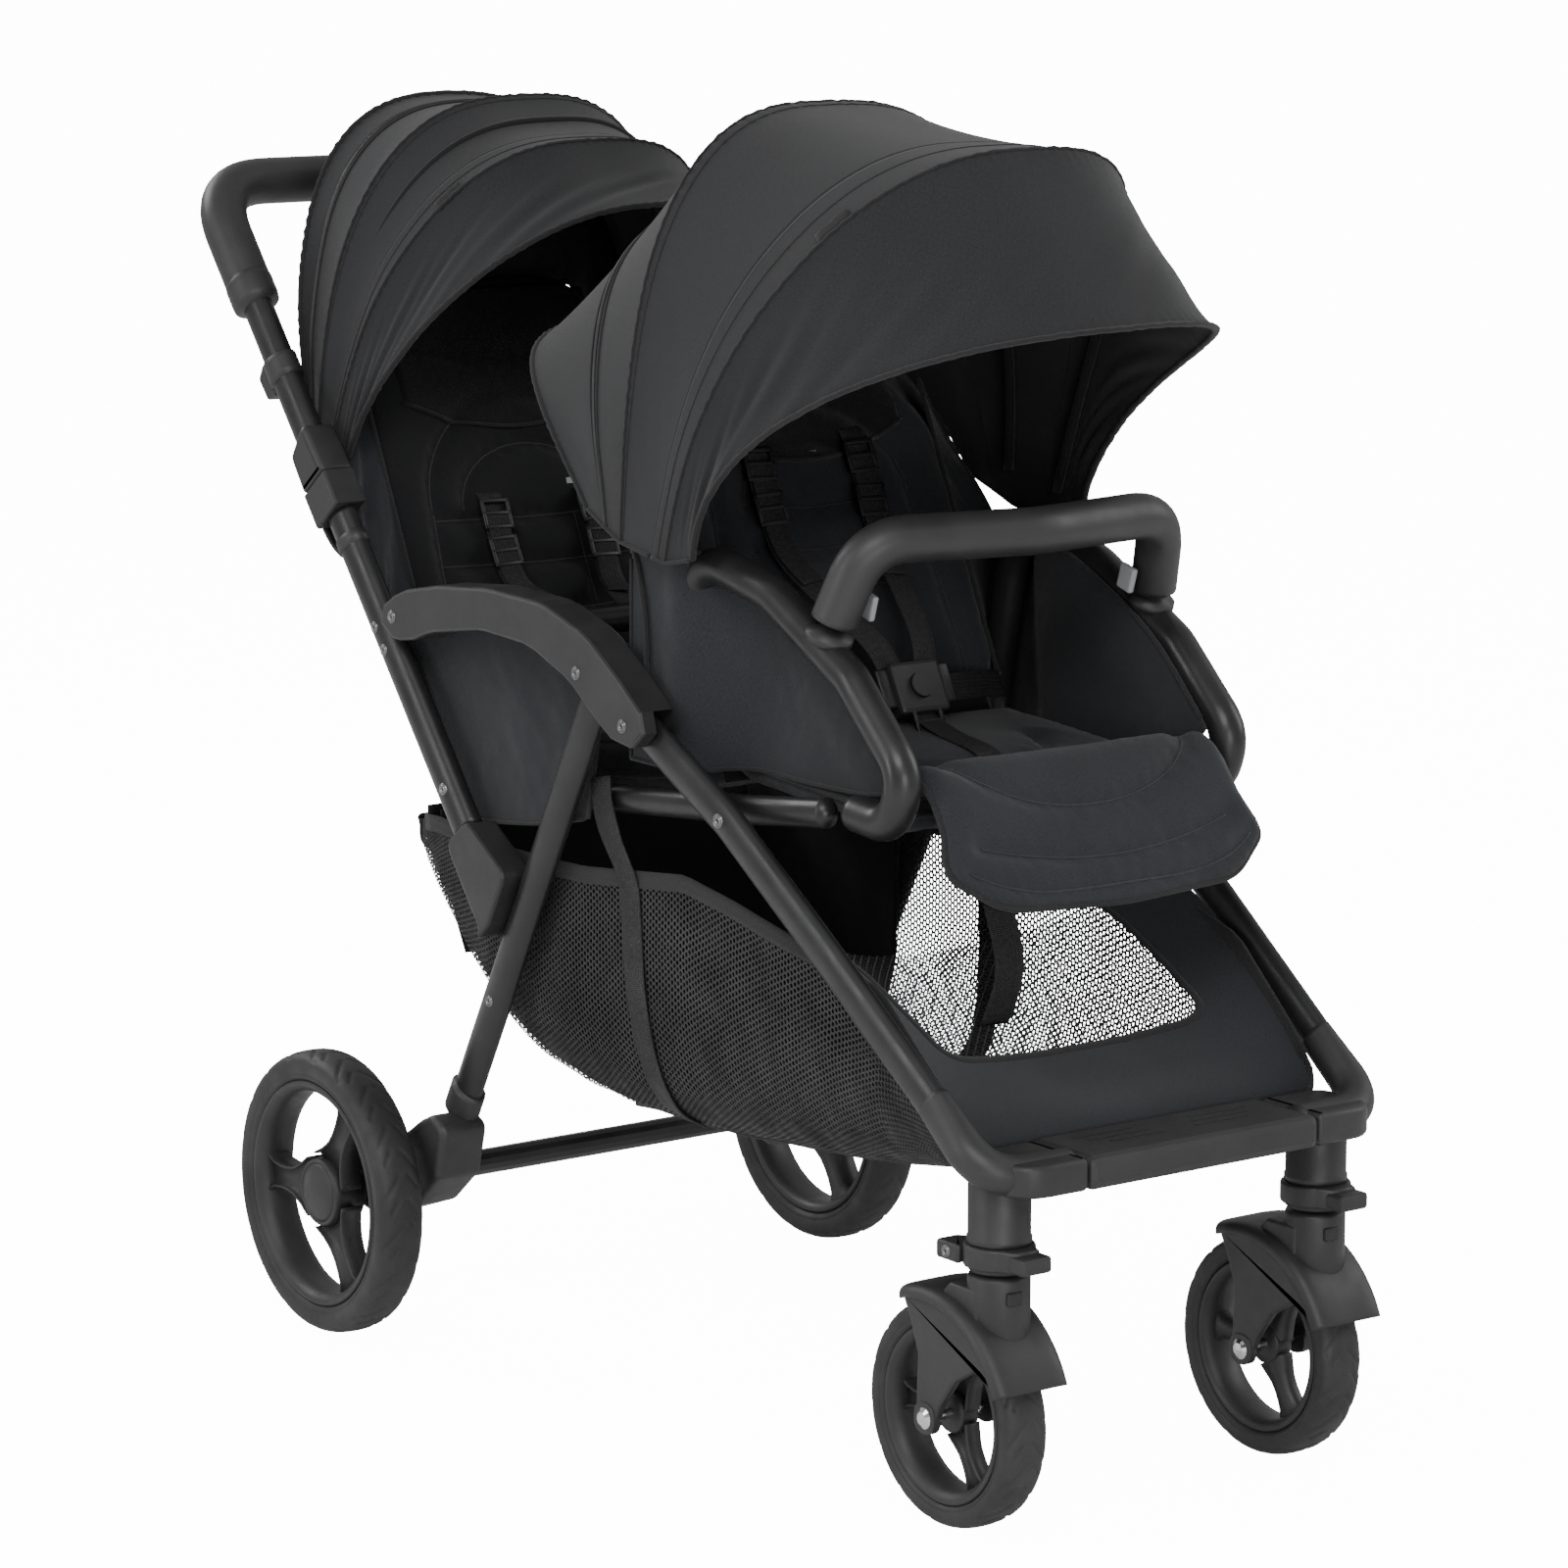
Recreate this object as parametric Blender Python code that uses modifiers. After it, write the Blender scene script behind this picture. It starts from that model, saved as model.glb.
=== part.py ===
"""Tandem pushchair: two seats in line, two canopies, four wheels and a frame that folds.

Run it with: blender --background --python part.py
Metres, +Z up, the front at -Y and the rider's left at -X. Places are given from the rear axle's line on the
ground, as (along, up), and at() moves them so that the middle of the whole length lies at Y = 0.
"""

import math

import bmesh
import bpy
from mathutils import Matrix, Vector

# Driving dimensions
AXLE_BEHIND_MIDDLE = 0.2872
REAR_WHEEL_RADIUS = 0.1284
REAR_TYRE_HALF_WIDTH = 0.0224
REAR_WHEEL_X = 0.2754
FRONT_WHEEL_RADIUS = 0.0935
FRONT_TYRE_HALF_WIDTH = 0.0208
FRONT_WHEEL_X = 0.166
FRONT_WHEEL_ALONG = -0.7783
CASTER_ALONG = -0.830
GAP = 0.0003

# The side frame, on each side
FRAME_X = 0.214
LEG_X = 0.208
RAIL_X = 0.180
TUBE_DEPTH = 0.034
TUBE_WIDTH = 0.024
LEG_WIDTH = 0.019
HOOP_RADIUS = 0.0155
TUBE_FOOT = (-0.174, 0.433)
TUBE_LEAN = math.radians(51.4)
HANDLE_HINGE_LENGTH = 0.4165
GRIP_LENGTH = 0.622
HANDLE_LENGTH = 0.744
HANDLE_BEND = 0.078
GRIP_RADIUS = 0.0215
HANDLE_HINGE_BACK = 0.022
REAR_LEG_PIVOT = (-0.338, 0.624)
REAR_LEG_FOOT = (-0.112, 0.210)
FRONT_LEG_PIVOT = (-0.393, 0.606)
REAR_CROSSBAR = (-0.098, 0.160)
BRAKE_PIVOT = (-0.046, 0.166)

# Seats and canopies
SEAT_HALF_WIDTH = 0.150
FRONT_BACKREST_HINGE = (-0.432, 0.588)
REAR_BACKREST_HINGE = (0.000, 0.548)
BACKREST_LEAN = math.radians(65)
CALF_HINGE = (-0.688, 0.556)
FRONT_CANOPY_HUB = (-0.475, 0.752)
REAR_CANOPY_HUB = (0.115, 0.785)
FRONT_CANOPY_RADIUS = 0.373
REAR_CANOPY_RADIUS = 0.311
FRONT_CANOPY_HALF_WIDTH = 0.205
REAR_CANOPY_HALF_WIDTH = 0.184
CANOPY_STEP = 0.013
CANOPY_WALL = 0.003
FRONT_CANOPY_ANGLES = (25, 75, 118, 148)
REAR_CANOPY_ANGLES = (72, 95, 118, 138)

SIDES = {"left": -1, "right": 1}


def at(across, along, up):
    """A place in the world, from one given along the frame from the rear axle."""
    return Vector((across, along + AXLE_BEHIND_MIDDLE, up))


def polar(centre, radius, angle):
    """A place (along, up) at a distance and an angle in degrees from +Y, in the side view."""
    turn = math.radians(angle)
    return centre[0] + radius * math.cos(turn), centre[1] + radius * math.sin(turn)


def on_tube(length, behind=0.0):
    """A place (along, up) on the push tube's centre line, or behind it at right angles."""
    along = TUBE_FOOT[0] + length * math.cos(TUBE_LEAN) + behind * math.sin(TUBE_LEAN)
    up = TUBE_FOOT[1] + length * math.sin(TUBE_LEAN) - behind * math.cos(TUBE_LEAN)
    return along, up


# Materials


def material(name, colour, roughness, metallic=0.0):
    """The named Principled material, made once."""
    made = bpy.data.materials.get(name)
    if made is None:
        made = bpy.data.materials.new(name)
        made.use_nodes = True
        shader = made.node_tree.nodes["Principled BSDF"]
        shader.inputs["Base Color"].default_value = (*colour, 1.0)
        shader.inputs["Roughness"].default_value = roughness
        shader.inputs["Metallic"].default_value = metallic
        made.diffuse_color = (*colour, 1.0)
    return made


def black_paint():
    return material("satin_black_aluminium", (0.022, 0.022, 0.024), 0.38, 0.4)


def moulded():
    return material("moulded_black_plastic", (0.026, 0.026, 0.028), 0.5)


def foam():
    return material("handle_foam", (0.03, 0.03, 0.032), 0.6)


def rubber():
    return material("tyre_rubber", (0.02, 0.02, 0.021), 0.72)


def chrome():
    return material("chrome_steel", (0.72, 0.72, 0.74), 0.2, 1.0)


def grey_plastic():
    return material("grey_plastic", (0.32, 0.33, 0.34), 0.45)


def canopy_cloth():
    return material("charcoal_canopy_cloth", (0.035, 0.036, 0.04), 0.9)


def seat_cloth():
    return material("graphite_seat_cloth", (0.045, 0.047, 0.054), 0.9)


def basket_mesh():
    return material("black_basket_mesh", (0.02, 0.02, 0.022), 0.85)


# Building blocks


def add(name, mesh, finish, smooth=False):
    """A mesh as a named object with its material."""
    mesh.name = name
    mesh.materials.clear()
    mesh.materials.append(finish)
    for face in mesh.polygons:
        face.use_smooth = smooth
    made = bpy.data.objects.new(name, mesh)
    bpy.context.scene.collection.objects.link(made)
    return made


def mesh_of(source):
    """The finished mesh of an object, its coincident corners joined; the object itself is removed."""
    bpy.context.view_layer.update()
    seen = source.evaluated_get(bpy.context.evaluated_depsgraph_get())
    mesh = bpy.data.meshes.new_from_object(seen)
    mesh.transform(source.matrix_world)
    working = bmesh.new()
    working.from_mesh(mesh)
    bmesh.ops.remove_doubles(working, verts=working.verts, dist=0.00002)
    bmesh.ops.recalc_face_normals(working, faces=working.faces)
    working.to_mesh(mesh)
    working.free()
    bpy.data.objects.remove(source)
    return mesh


def arcs(corners, radius, closed=False, steps=3):
    """Corners as a route whose bends are round arcs of the radius, or as large as their sides allow."""
    corners = [Vector(corner) for corner in corners]
    if closed:
        pairs = [(corners[i - 1], corners[i], corners[(i + 1) % len(corners)]) for i in range(len(corners))]
        route = []
    else:
        pairs = [(corners[i - 1], corners[i], corners[i + 1]) for i in range(1, len(corners) - 1)]
        route = [corners[0]]
    for before, corner, after in pairs:
        back, on = (before - corner), (after - corner)
        half = back.angle(on) / 2
        if half > math.radians(89.5):
            route.append(corner)
            continue
        reach = min(radius / math.tan(half), 0.48 * back.length, 0.48 * on.length)
        start = corner + back.normalized() * reach
        end = corner + on.normalized() * reach
        for step in range(steps + 1):
            share = step / steps
            route.append(start.lerp(corner, share).lerp(corner.lerp(end, share), share))
    if not closed:
        route.append(corners[-1])
    return route


def curve_object(routes, closed, flat):
    """Routes of points as the splines of one curve object."""
    curve = bpy.data.curves.new("route", "CURVE")
    curve.dimensions = "2D" if flat else "3D"
    for route in routes:
        spline = curve.splines.new("POLY")
        spline.points.add(len(route) - 1)
        for point, place in zip(spline.points, route):
            point.co = (*place, 1.0)
        spline.use_cyclic_u = closed
    made = bpy.data.objects.new("route", curve)
    bpy.context.scene.collection.objects.link(made)
    return made


def rod_mesh(corners, radius, bend=0.04, resolution=4, narrow=1.0):
    """A round bar along a route; narrow squeezes it across, about its first point's X."""
    source = curve_object([arcs(corners, bend)], closed=False, flat=False)
    source.data.bevel_depth = radius
    source.data.bevel_resolution = resolution
    source.data.use_fill_caps = True
    mesh = mesh_of(source)
    middle = corners[0][0]
    squeeze = Matrix.Translation((middle, 0, 0)) @ Matrix.Diagonal((narrow, 1, 1, 1))
    mesh.transform(squeeze @ Matrix.Translation((-middle, 0, 0)))
    return mesh


def rod(name, corners, radius, finish, bend=0.04, resolution=4, narrow=1.0):
    return add(name, rod_mesh(corners, radius, bend, resolution, narrow), finish, smooth=True)


def plate_mesh(outline, across, thickness, bevel=0.0, corner=0.0, holes=()):
    """A flat outline (along, up) in the side view, with its thickness across the frame."""
    routes = [arcs([(*point, 0) for point in outline], corner, True) if corner else outline]
    routes = [[(point[0], point[1], 0) for point in route] for route in [routes[0], *holes]]
    source = curve_object(routes, closed=True, flat=True)
    source.data.fill_mode = "BOTH"
    source.data.extrude = thickness / 2 - bevel
    source.data.bevel_depth = bevel
    source.data.bevel_resolution = 1
    source.data.offset = -bevel
    mesh = mesh_of(source)
    turned = Matrix(((0, 0, 1, across), (1, 0, 0, AXLE_BEHIND_MIDDLE), (0, 1, 0, 0), (0, 0, 0, 1)))
    mesh.transform(turned)
    return mesh


def plate(name, outline, across, thickness, finish, bevel=0.0, corner=0.0, holes=(), smooth=False):
    mesh = plate_mesh(outline, across, thickness, bevel, corner, holes)
    return add(name, mesh, finish, smooth)


def block_mesh(centre, size, bevel, lean=0.0, segments=2):
    """A box with rounded edges, leaned about X."""
    working = bmesh.new()
    bmesh.ops.create_cube(working, size=1.0)
    bmesh.ops.scale(working, vec=size, verts=working.verts)
    bmesh.ops.bevel(working, geom=working.edges[:], offset=bevel, segments=segments, affect="EDGES", profile=0.5)
    bmesh.ops.rotate(working, cent=(0, 0, 0), matrix=Matrix.Rotation(lean, 3, "X"), verts=working.verts)
    bmesh.ops.translate(working, vec=centre, verts=working.verts)
    mesh = bpy.data.meshes.new("block")
    working.to_mesh(mesh)
    working.free()
    return mesh


def block(name, centre, size, bevel, finish, lean=0.0, segments=2, smooth=True):
    return add(name, block_mesh(centre, size, bevel, lean, segments), finish, smooth)


def turned(name, profile, centre, steps, finish, outward=1):
    """A profile of (radius, height) turned about a line across the frame; outward points the height at +-X."""
    mesh = bpy.data.meshes.new(name)
    points = [(radius, 0, height) for radius, height in profile]
    edges = [(i, i + 1) for i in range(len(points) - 1)]
    if profile[0][0] > 0:
        edges.append((len(points) - 1, 0))
    mesh.from_pydata(points, edges, [])
    mesh.materials.append(finish)
    made = bpy.data.objects.new(name, mesh)
    bpy.context.scene.collection.objects.link(made)
    screw = made.modifiers.new("turn", "SCREW")
    screw.axis = "Z"
    screw.steps = steps
    screw.render_steps = steps
    screw.use_merge_vertices = True
    screw.merge_threshold = 0.00001
    screw.use_smooth_shade = True
    made.location = centre
    made.rotation_euler = (0, outward * math.pi / 2, 0)
    return made


def joined(name, meshes, finish, smooth=False):
    """Overlapping meshes united into one closed body."""
    return combined(name, meshes[0], meshes[1:], "UNION", finish, smooth)


def cut(name, mesh, cutters, finish, smooth=False):
    return combined(name, mesh, cutters, "DIFFERENCE", finish, smooth)


def combined(name, mesh, others, operation, finish, smooth):
    body = add(name, mesh, finish)
    tools = []
    for other in others:
        tool = add("tool", other, finish)
        change = body.modifiers.new(operation, "BOOLEAN")
        change.object = tool
        change.operation = operation
        change.solver = "EXACT"
        tools.append(tool)
    mesh = mesh_of(body)
    for tool in tools:
        bpy.data.objects.remove(tool)
    return add(name, mesh, finish, smooth)


def pivot(name, place):
    """An empty on a joint's axis, to carry the pieces that turn about it."""
    made = bpy.data.objects.new(name, None)
    made.location = place
    bpy.context.scene.collection.objects.link(made)
    return made


def carry(parent, *pieces):
    """Pieces keep their place and ride on the parent."""
    bpy.context.view_layer.update()
    for piece in pieces:
        piece.parent = parent
        piece.matrix_parent_inverse = parent.matrix_world.inverted()


# Wheels


def ring_outline(centre, radius, steps=24):
    return [polar(centre, radius, 360 * step / steps) for step in range(steps)]


def spoke_windows(centre, hub, rim, spokes=3, turn=0):
    """The openings of a rim: a wide one between spokes and a slim one along the fork of each spoke."""
    windows = []
    for spoke in range(spokes):
        mid = turn + 360 / spokes * (spoke + 0.5)
        inner = [polar(centre, hub * 1.16, mid + side * 38) for side in (-1, 0, 1)]
        outer = [polar(centre, rim, mid + 37 - 74 * step / 6) for step in range(7)]
        windows.append([(*point, 0) for point in inner + outer])
        axis = turn + 360 / spokes * spoke
        wide = [polar(centre, rim, axis + 11 - 22 * step / 3) for step in range(4)]
        slim = [polar(centre, hub * 1.5, axis - 3), polar(centre, hub * 1.5, axis + 3)]
        windows.append([(*point, 0) for point in slim + wide])
    return windows


def wheel(name, side, across, along, radius, half_width, wall, hub_radius, bore):
    """A tyre and a three-spoked rim about one axle; the tyre's crown is round and the rim has open windows."""
    centre = at(across, along, radius)
    seat = radius - wall
    tyre_profile = [
        (seat, half_width * 0.74),
        (radius - wall * 0.62, half_width),
        (radius - wall * 0.30, half_width * 0.94),
        (radius - wall * 0.07, half_width * 0.62),
        (radius, half_width * 0.22),
        (radius, -half_width * 0.22),
        (radius - wall * 0.07, -half_width * 0.62),
        (radius - wall * 0.30, -half_width * 0.94),
        (radius - wall * 0.62, -half_width),
        (seat, -half_width * 0.74),
    ]
    tyre = turned(f"{name}_tyre_{side}", tyre_profile, centre, 36, rubber())
    middle = (along, radius)
    holes = [ring_outline(middle, bore, 12)] + spoke_windows(middle, hub_radius, seat - 0.009)
    outline = ring_outline(middle, seat - GAP, 36)
    rim = plate(f"{name}_rim_{side}", outline, across, half_width * 1.3, moulded(), 0, 0, holes)
    return tyre, rim


def rear_wheels(rear_legs):
    for side, sign in SIDES.items():
        hinge = pivot(f"rear_wheel_{side}_axis", at(sign * REAR_WHEEL_X, 0, REAR_WHEEL_RADIUS))
        carry(rear_legs, hinge)
        parts = wheel(
            "rear", side, sign * REAR_WHEEL_X, 0, REAR_WHEEL_RADIUS, REAR_TYRE_HALF_WIDTH, 0.027, 0.026, 0.0083
        )
        carry(hinge, *parts)


def casters(front_legs):
    """On each side a fork that swivels about its upright stem, and its wheel on a bolt with a domed head."""
    for side, sign in SIDES.items():
        across = sign * FRONT_WHEEL_X
        stem = pivot(f"caster_{side}_axis", at(across, CASTER_ALONG, 0.20))
        carry(front_legs, stem)
        carry(stem, caster_fork(side, across), caster_bolt(side, across))
        hinge = pivot(f"front_wheel_{side}_axis", at(across, FRONT_WHEEL_ALONG, FRONT_WHEEL_RADIUS))
        carry(stem, hinge)
        parts = wheel(
            "front", side, across, FRONT_WHEEL_ALONG, FRONT_WHEEL_RADIUS, FRONT_TYRE_HALF_WIDTH, 0.021, 0.017, 0.0058
        )
        carry(hinge, *parts)


def caster_fork(side, across):
    """A barrel under the leg, a mudguard over the wheel, and a blade down each side to the bolt."""
    axle = (FRONT_WHEEL_ALONG, FRONT_WHEEL_RADIUS)
    inner, outer = FRONT_WHEEL_RADIUS + 0.006, FRONT_WHEEL_RADIUS + 0.011
    over = [polar(axle, outer, 74 + 80 * step / 8) for step in range(9)]
    under = [polar(axle, inner, 154 - 80 * step / 8) for step in range(9)]
    guard = plate_mesh(over + under, across, 0.066)
    blade = [polar(axle, 0.013, 330 - 25 * step) for step in range(7)]
    blade += [(-0.812, 0.128), polar(axle, outer - 0.001, 146)]
    blade += [polar(axle, outer - 0.001, 146 - 60 * step / 5) for step in range(1, 6)]
    blade += [(-0.770, 0.150)]
    pieces = [guard]
    for face in (-1, 1):
        pieces.append(plate_mesh(blade, across + face * 0.0285, 0.0084))
    bridge = [(-0.853, 0.174), (-0.853, 0.199), (-0.780, 0.199)]
    bridge += [polar(axle, inner + 0.001, 92 + 8 * step) for step in range(6)]
    pieces.append(plate_mesh(bridge, across, 0.044))
    barrel = rod_mesh([at(across, CASTER_ALONG, 0.1945), at(across, CASTER_ALONG, 0.2195)], 0.0255, 0, 6)
    pieces.append(barrel)
    pieces.append(rod_mesh([at(across, CASTER_ALONG, 0.19), at(across, CASTER_ALONG, 0.262)], 0.006, 0, 4))
    tool = plate_mesh(ring_outline(axle, 0.0053, 16), across, 0.1)
    body = joined("fork", pieces, moulded())
    mesh = body.data.copy()
    bpy.data.objects.remove(body)
    return cut(f"caster_fork_{side}", mesh, [tool], moulded())


def caster_bolt(side, across):
    centre = at(across, FRONT_WHEEL_ALONG, FRONT_WHEEL_RADIUS)
    shank, head = 0.005, 0.009
    profile = [
        (0, 0.0378),
        (head * 0.6, 0.0370),
        (head, 0.0345),
        (head, 0.0331),
        (shank, 0.0331),
        (shank, -0.0331),
        (head, -0.0331),
        (head, -0.0350),
        (0, -0.0350),
    ]
    return turned(f"caster_bolt_{side}", profile, centre, 16, chrome(), -1)


# Frame


def side_frame():
    """Push tubes, latches, housings, armrests, rails and hoops: the pieces that hold both seats."""
    for side, sign in SIDES.items():
        across = sign * FRAME_X
        half = TUBE_DEPTH / 2
        narrow = TUBE_WIDTH / TUBE_DEPTH
        foot, top = on_tube(0.052), on_tube(HANDLE_HINGE_LENGTH - 0.036)
        rod(f"push_tube_{side}", [at(across, *foot), at(across, *top)], half, black_paint(), 0, 6, narrow)
        latch = [
            on_tube(0.0517, -0.0205),
            on_tube(0.0517, 0.0205),
            on_tube(-0.030, 0.022),
            (-0.176, 0.383),
            (-0.1930, 0.399),
            (-0.2195, 0.4475),
        ]
        plate(f"frame_latch_{side}", latch, across, 0.031, moulded(), 0.003, 0.012, smooth=False)
        housing = [
            on_tube(HANDLE_HINGE_LENGTH - 0.0357, -0.0215),
            on_tube(HANDLE_HINGE_LENGTH - 0.0357, 0.0220),
            on_tube(HANDLE_HINGE_LENGTH - GAP, 0.0220),
            on_tube(HANDLE_HINGE_LENGTH - GAP, -0.0215),
        ]
        plate(f"handle_housing_{side}", housing, across, 0.034, moulded(), 0.003, 0.0, smooth=False)
        armrest(side, sign)
        rail = [at(sign * RAIL_X, -0.098, 0.504), at(sign * RAIL_X, -0.522, 0.545), at(sign * RAIL_X, -0.626, 0.558)]
        rod(f"side_rail_{side}", rail, 0.0125, black_paint(), 0.05, 4, 0.85)
        hoop = [
            at(sign * 0.170, -0.3885, 0.560),
            at(sign * 0.170, -0.4285, 0.748),
            at(sign * 0.170, -0.5355, 0.724),
            at(sign * 0.170, -0.6405, 0.668),
            at(sign * 0.170, -0.7125, 0.600),
            at(sign * 0.170, -0.6965, 0.556),
            at(sign * 0.170, -0.6415, 0.561),
        ]
        rod(f"seat_hoop_{side}", hoop, HOOP_RADIUS, black_paint(), 0.05, 4)
    bar = [at(-0.1897, -0.100, 0.640), at(0.1897, -0.100, 0.640)]
    rod("rear_guard_bar", bar, 0.013, black_paint(), 0, 4)


def armrest(side, sign):
    """A curved cover, open below, that the tops of the legs turn inside."""
    top = [
        (-0.036, 0.634),
        (-0.0225, 0.656),
        (-0.060, 0.678),
        (-0.120, 0.689),
        (-0.200, 0.696),
        (-0.285, 0.693),
        (-0.350, 0.674),
        (-0.400, 0.642),
        (-0.440, 0.612),
        (-0.432, 0.590),
        (-0.402, 0.583),
        (-0.368, 0.602),
        (-0.325, 0.632),
        (-0.265, 0.654),
        (-0.190, 0.658),
        (-0.110, 0.646),
        (-0.070, 0.632),
    ]
    cover = plate_mesh(arcs([(*point, 0) for point in top], 0.06, True, 1), sign * 0.2144, 0.0364, 0.003)
    pocket = [(-0.470, 0.560), (-0.222, 0.560), (-0.236, 0.662), (-0.290, 0.683), (-0.345, 0.667)]
    pocket += [(-0.394, 0.636), (-0.412, 0.622), (-0.470, 0.612)]
    tool = plate_mesh(pocket, sign * LEG_X, LEG_WIDTH + 0.0012)
    cut(f"armrest_{side}", cover, [tool], moulded())


def handle(fold):
    """The handle folds back on its own housings: two arms and a padded grip bent into a bow."""
    back = HANDLE_HINGE_BACK
    hinge = pivot("handle_axis", at(0, *on_tube(HANDLE_HINGE_LENGTH, back)))
    carry(fold, hinge)
    for side, sign in SIDES.items():
        across = sign * FRAME_X
        housing = [
            on_tube(HANDLE_HINGE_LENGTH + GAP, -0.0215),
            on_tube(HANDLE_HINGE_LENGTH + GAP, 0.0215),
            on_tube(HANDLE_HINGE_LENGTH + 0.040, 0.0200),
            on_tube(HANDLE_HINGE_LENGTH + 0.050, -0.0200),
        ]
        housing = plate_mesh(housing, across, 0.034)
        ends = [on_tube(HANDLE_HINGE_LENGTH + 0.02), on_tube(GRIP_LENGTH - GAP)]
        arm = rod_mesh([at(across, *end) for end in ends], 0.0160, 0, 6, 0.8)
        carry(hinge, joined(f"handle_arm_{side}", [housing, arm], black_paint()))
    low, high = on_tube(GRIP_LENGTH), on_tube(HANDLE_LENGTH)
    bow = [at(-FRAME_X, *low), at(-FRAME_X, *high), at(FRAME_X, *high), at(FRAME_X, *low)]
    carry(hinge, rod("handle_grip", bow, GRIP_RADIUS, foam(), HANDLE_BEND, 6))


def leg_tube(name, points, across_points):
    corners = [at(across, *point) for across, point in zip(across_points, points)]
    return rod_mesh(corners, TUBE_DEPTH / 2, 0.12, 4, LEG_WIDTH / TUBE_DEPTH)


def rear_legs(root):
    hinge = pivot("rear_legs_axis", at(0, *REAR_LEG_PIVOT))
    carry(root, hinge)
    for side, sign in SIDES.items():
        across = sign * LEG_X
        tube = leg_tube("leg", [REAR_LEG_PIVOT, REAR_LEG_FOOT], (across, across))
        eye = plate_mesh(ring_outline(REAR_LEG_PIVOT, TUBE_DEPTH / 2 - 0.001, 16), across, LEG_WIDTH - 0.001)
        carry(hinge, joined(f"rear_leg_{side}", [tube, eye], black_paint()))
        outline = [
            (-0.1405, 0.2075),
            (-0.1180, 0.2170),
            (-0.1000, 0.2090),
            (-0.0600, 0.1830),
            (0.0140, 0.1500),
            (0.0180, 0.1120),
            (-0.0220, 0.1040),
            (-0.0900, 0.1280),
            (-0.1280, 0.1600),
        ]
        body = plate_mesh(outline, sign * 0.2195, 0.049, 0.003, 0.012)
        inner = at(sign * 0.235, 0, REAR_WHEEL_RADIUS)
        stub = [inner, at(sign * (REAR_WHEEL_X + 0.012), 0, REAR_WHEEL_RADIUS)]
        collar = [inner, at(sign * (REAR_WHEEL_X - REAR_TYRE_HALF_WIDTH - 0.003), 0, REAR_WHEEL_RADIUS)]
        parts = [body, rod_mesh(collar, 0.015, 0, 6), rod_mesh(stub, 0.0078, 0, 4)]
        pocket = leg_tube("leg", [REAR_LEG_PIVOT, REAR_LEG_FOOT], (across, across))
        pocket.transform(grown(at(across, *REAR_LEG_PIVOT), 1.02, 1.001))
        bracket = joined("bracket", parts, moulded())
        mesh = bracket.data.copy()
        bpy.data.objects.remove(bracket)
        carry(hinge, cut(f"rear_bracket_{side}", mesh, [pocket], moulded()))
    ends = [at(-0.1947, *REAR_CROSSBAR), at(0.1947, *REAR_CROSSBAR)]
    carry(hinge, rod("rear_crossbar", ends, 0.0115, black_paint(), 0, 5))
    pedal_axis = pivot("brake_axis", at(0.105, *BRAKE_PIVOT))
    carry(hinge, pedal_axis)
    pedal = [(-0.060, 0.1600), (-0.056, 0.1750), (-0.036, 0.1760), (0.030, 0.1560), (0.032, 0.1490), (-0.040, 0.1550)]
    carry(pedal_axis, plate("brake_pedal", pedal, 0.105, 0.052, moulded(), 0.002, 0.006))
    return hinge


def grown(centre, across, rest):
    """A matrix that enlarges about a centre, across the frame and in the side view."""
    return Matrix.Translation(centre) @ Matrix.Diagonal((across, rest, rest, 1)) @ Matrix.Translation(-centre)


def front_legs(root):
    hinge = pivot("front_legs_axis", at(0, *FRONT_LEG_PIVOT))
    carry(root, hinge)
    for side, sign in SIDES.items():
        points = [FRONT_LEG_PIVOT, (-0.522, 0.540), (-0.660, 0.447), (-0.792, 0.352)]
        spread = (sign * LEG_X, sign * LEG_X, sign * 0.2060, sign * 0.2010)
        tube = leg_tube("leg", points, spread)
        eye = plate_mesh(ring_outline(FRONT_LEG_PIVOT, TUBE_DEPTH / 2 - 0.001, 16), sign * LEG_X, LEG_WIDTH - 0.001)
        carry(hinge, joined(f"front_leg_{side}", [tube, eye], black_paint()))
        carry(hinge, front_corner(side, sign))
        carry(hinge, swivel_lock(side, sign))
    plate_centre = at(0, -0.846, 0.3025)
    carry(hinge, block("footplate", plate_centre, (0.2394, 0.080, 0.028), 0.007, moulded()))
    return hinge


def front_corner(side, sign):
    """The moulding that turns from the leg to the footplate, with the caster's socket below it."""
    bend = [at(sign * 0.1982, -0.7925, 0.3515), at(sign * 0.193, -0.852, 0.306), at(sign * 0.1215, -0.858, 0.3035)]
    sweep = rod_mesh(bend, 0.0170, 0.045, 4)
    wing = block_mesh(at(sign * 0.1425, -0.849, 0.3025), (0.0450, 0.070, 0.027), 0.006)
    across = sign * FRONT_WHEEL_X
    post = rod_mesh([at(across, CASTER_ALONG, 0.2460), at(across, CASTER_ALONG, 0.3050)], 0.0255, 0, 6)
    collar = rod_mesh([at(across, CASTER_ALONG, 0.2220), at(across, CASTER_ALONG, 0.2470)], 0.0300, 0, 6)
    clamp = block_mesh(at(across, CASTER_ALONG + 0.026, 0.2350), (0.040, 0.026, 0.020), 0.003)
    body = joined("corner", [sweep, wing, post, collar, clamp], moulded())
    mesh = body.data.copy()
    bpy.data.objects.remove(body)
    bore = rod_mesh([at(across, CASTER_ALONG, 0.2000), at(across, CASTER_ALONG, 0.2660)], 0.0068, 0, 4)
    slot = block_mesh(at(across, CASTER_ALONG - 0.0265, 0.2345), (0.0306, 0.030, 0.0150), 0.001, 0, 1)
    return cut(f"front_corner_{side}", mesh, [bore, slot], moulded())


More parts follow.
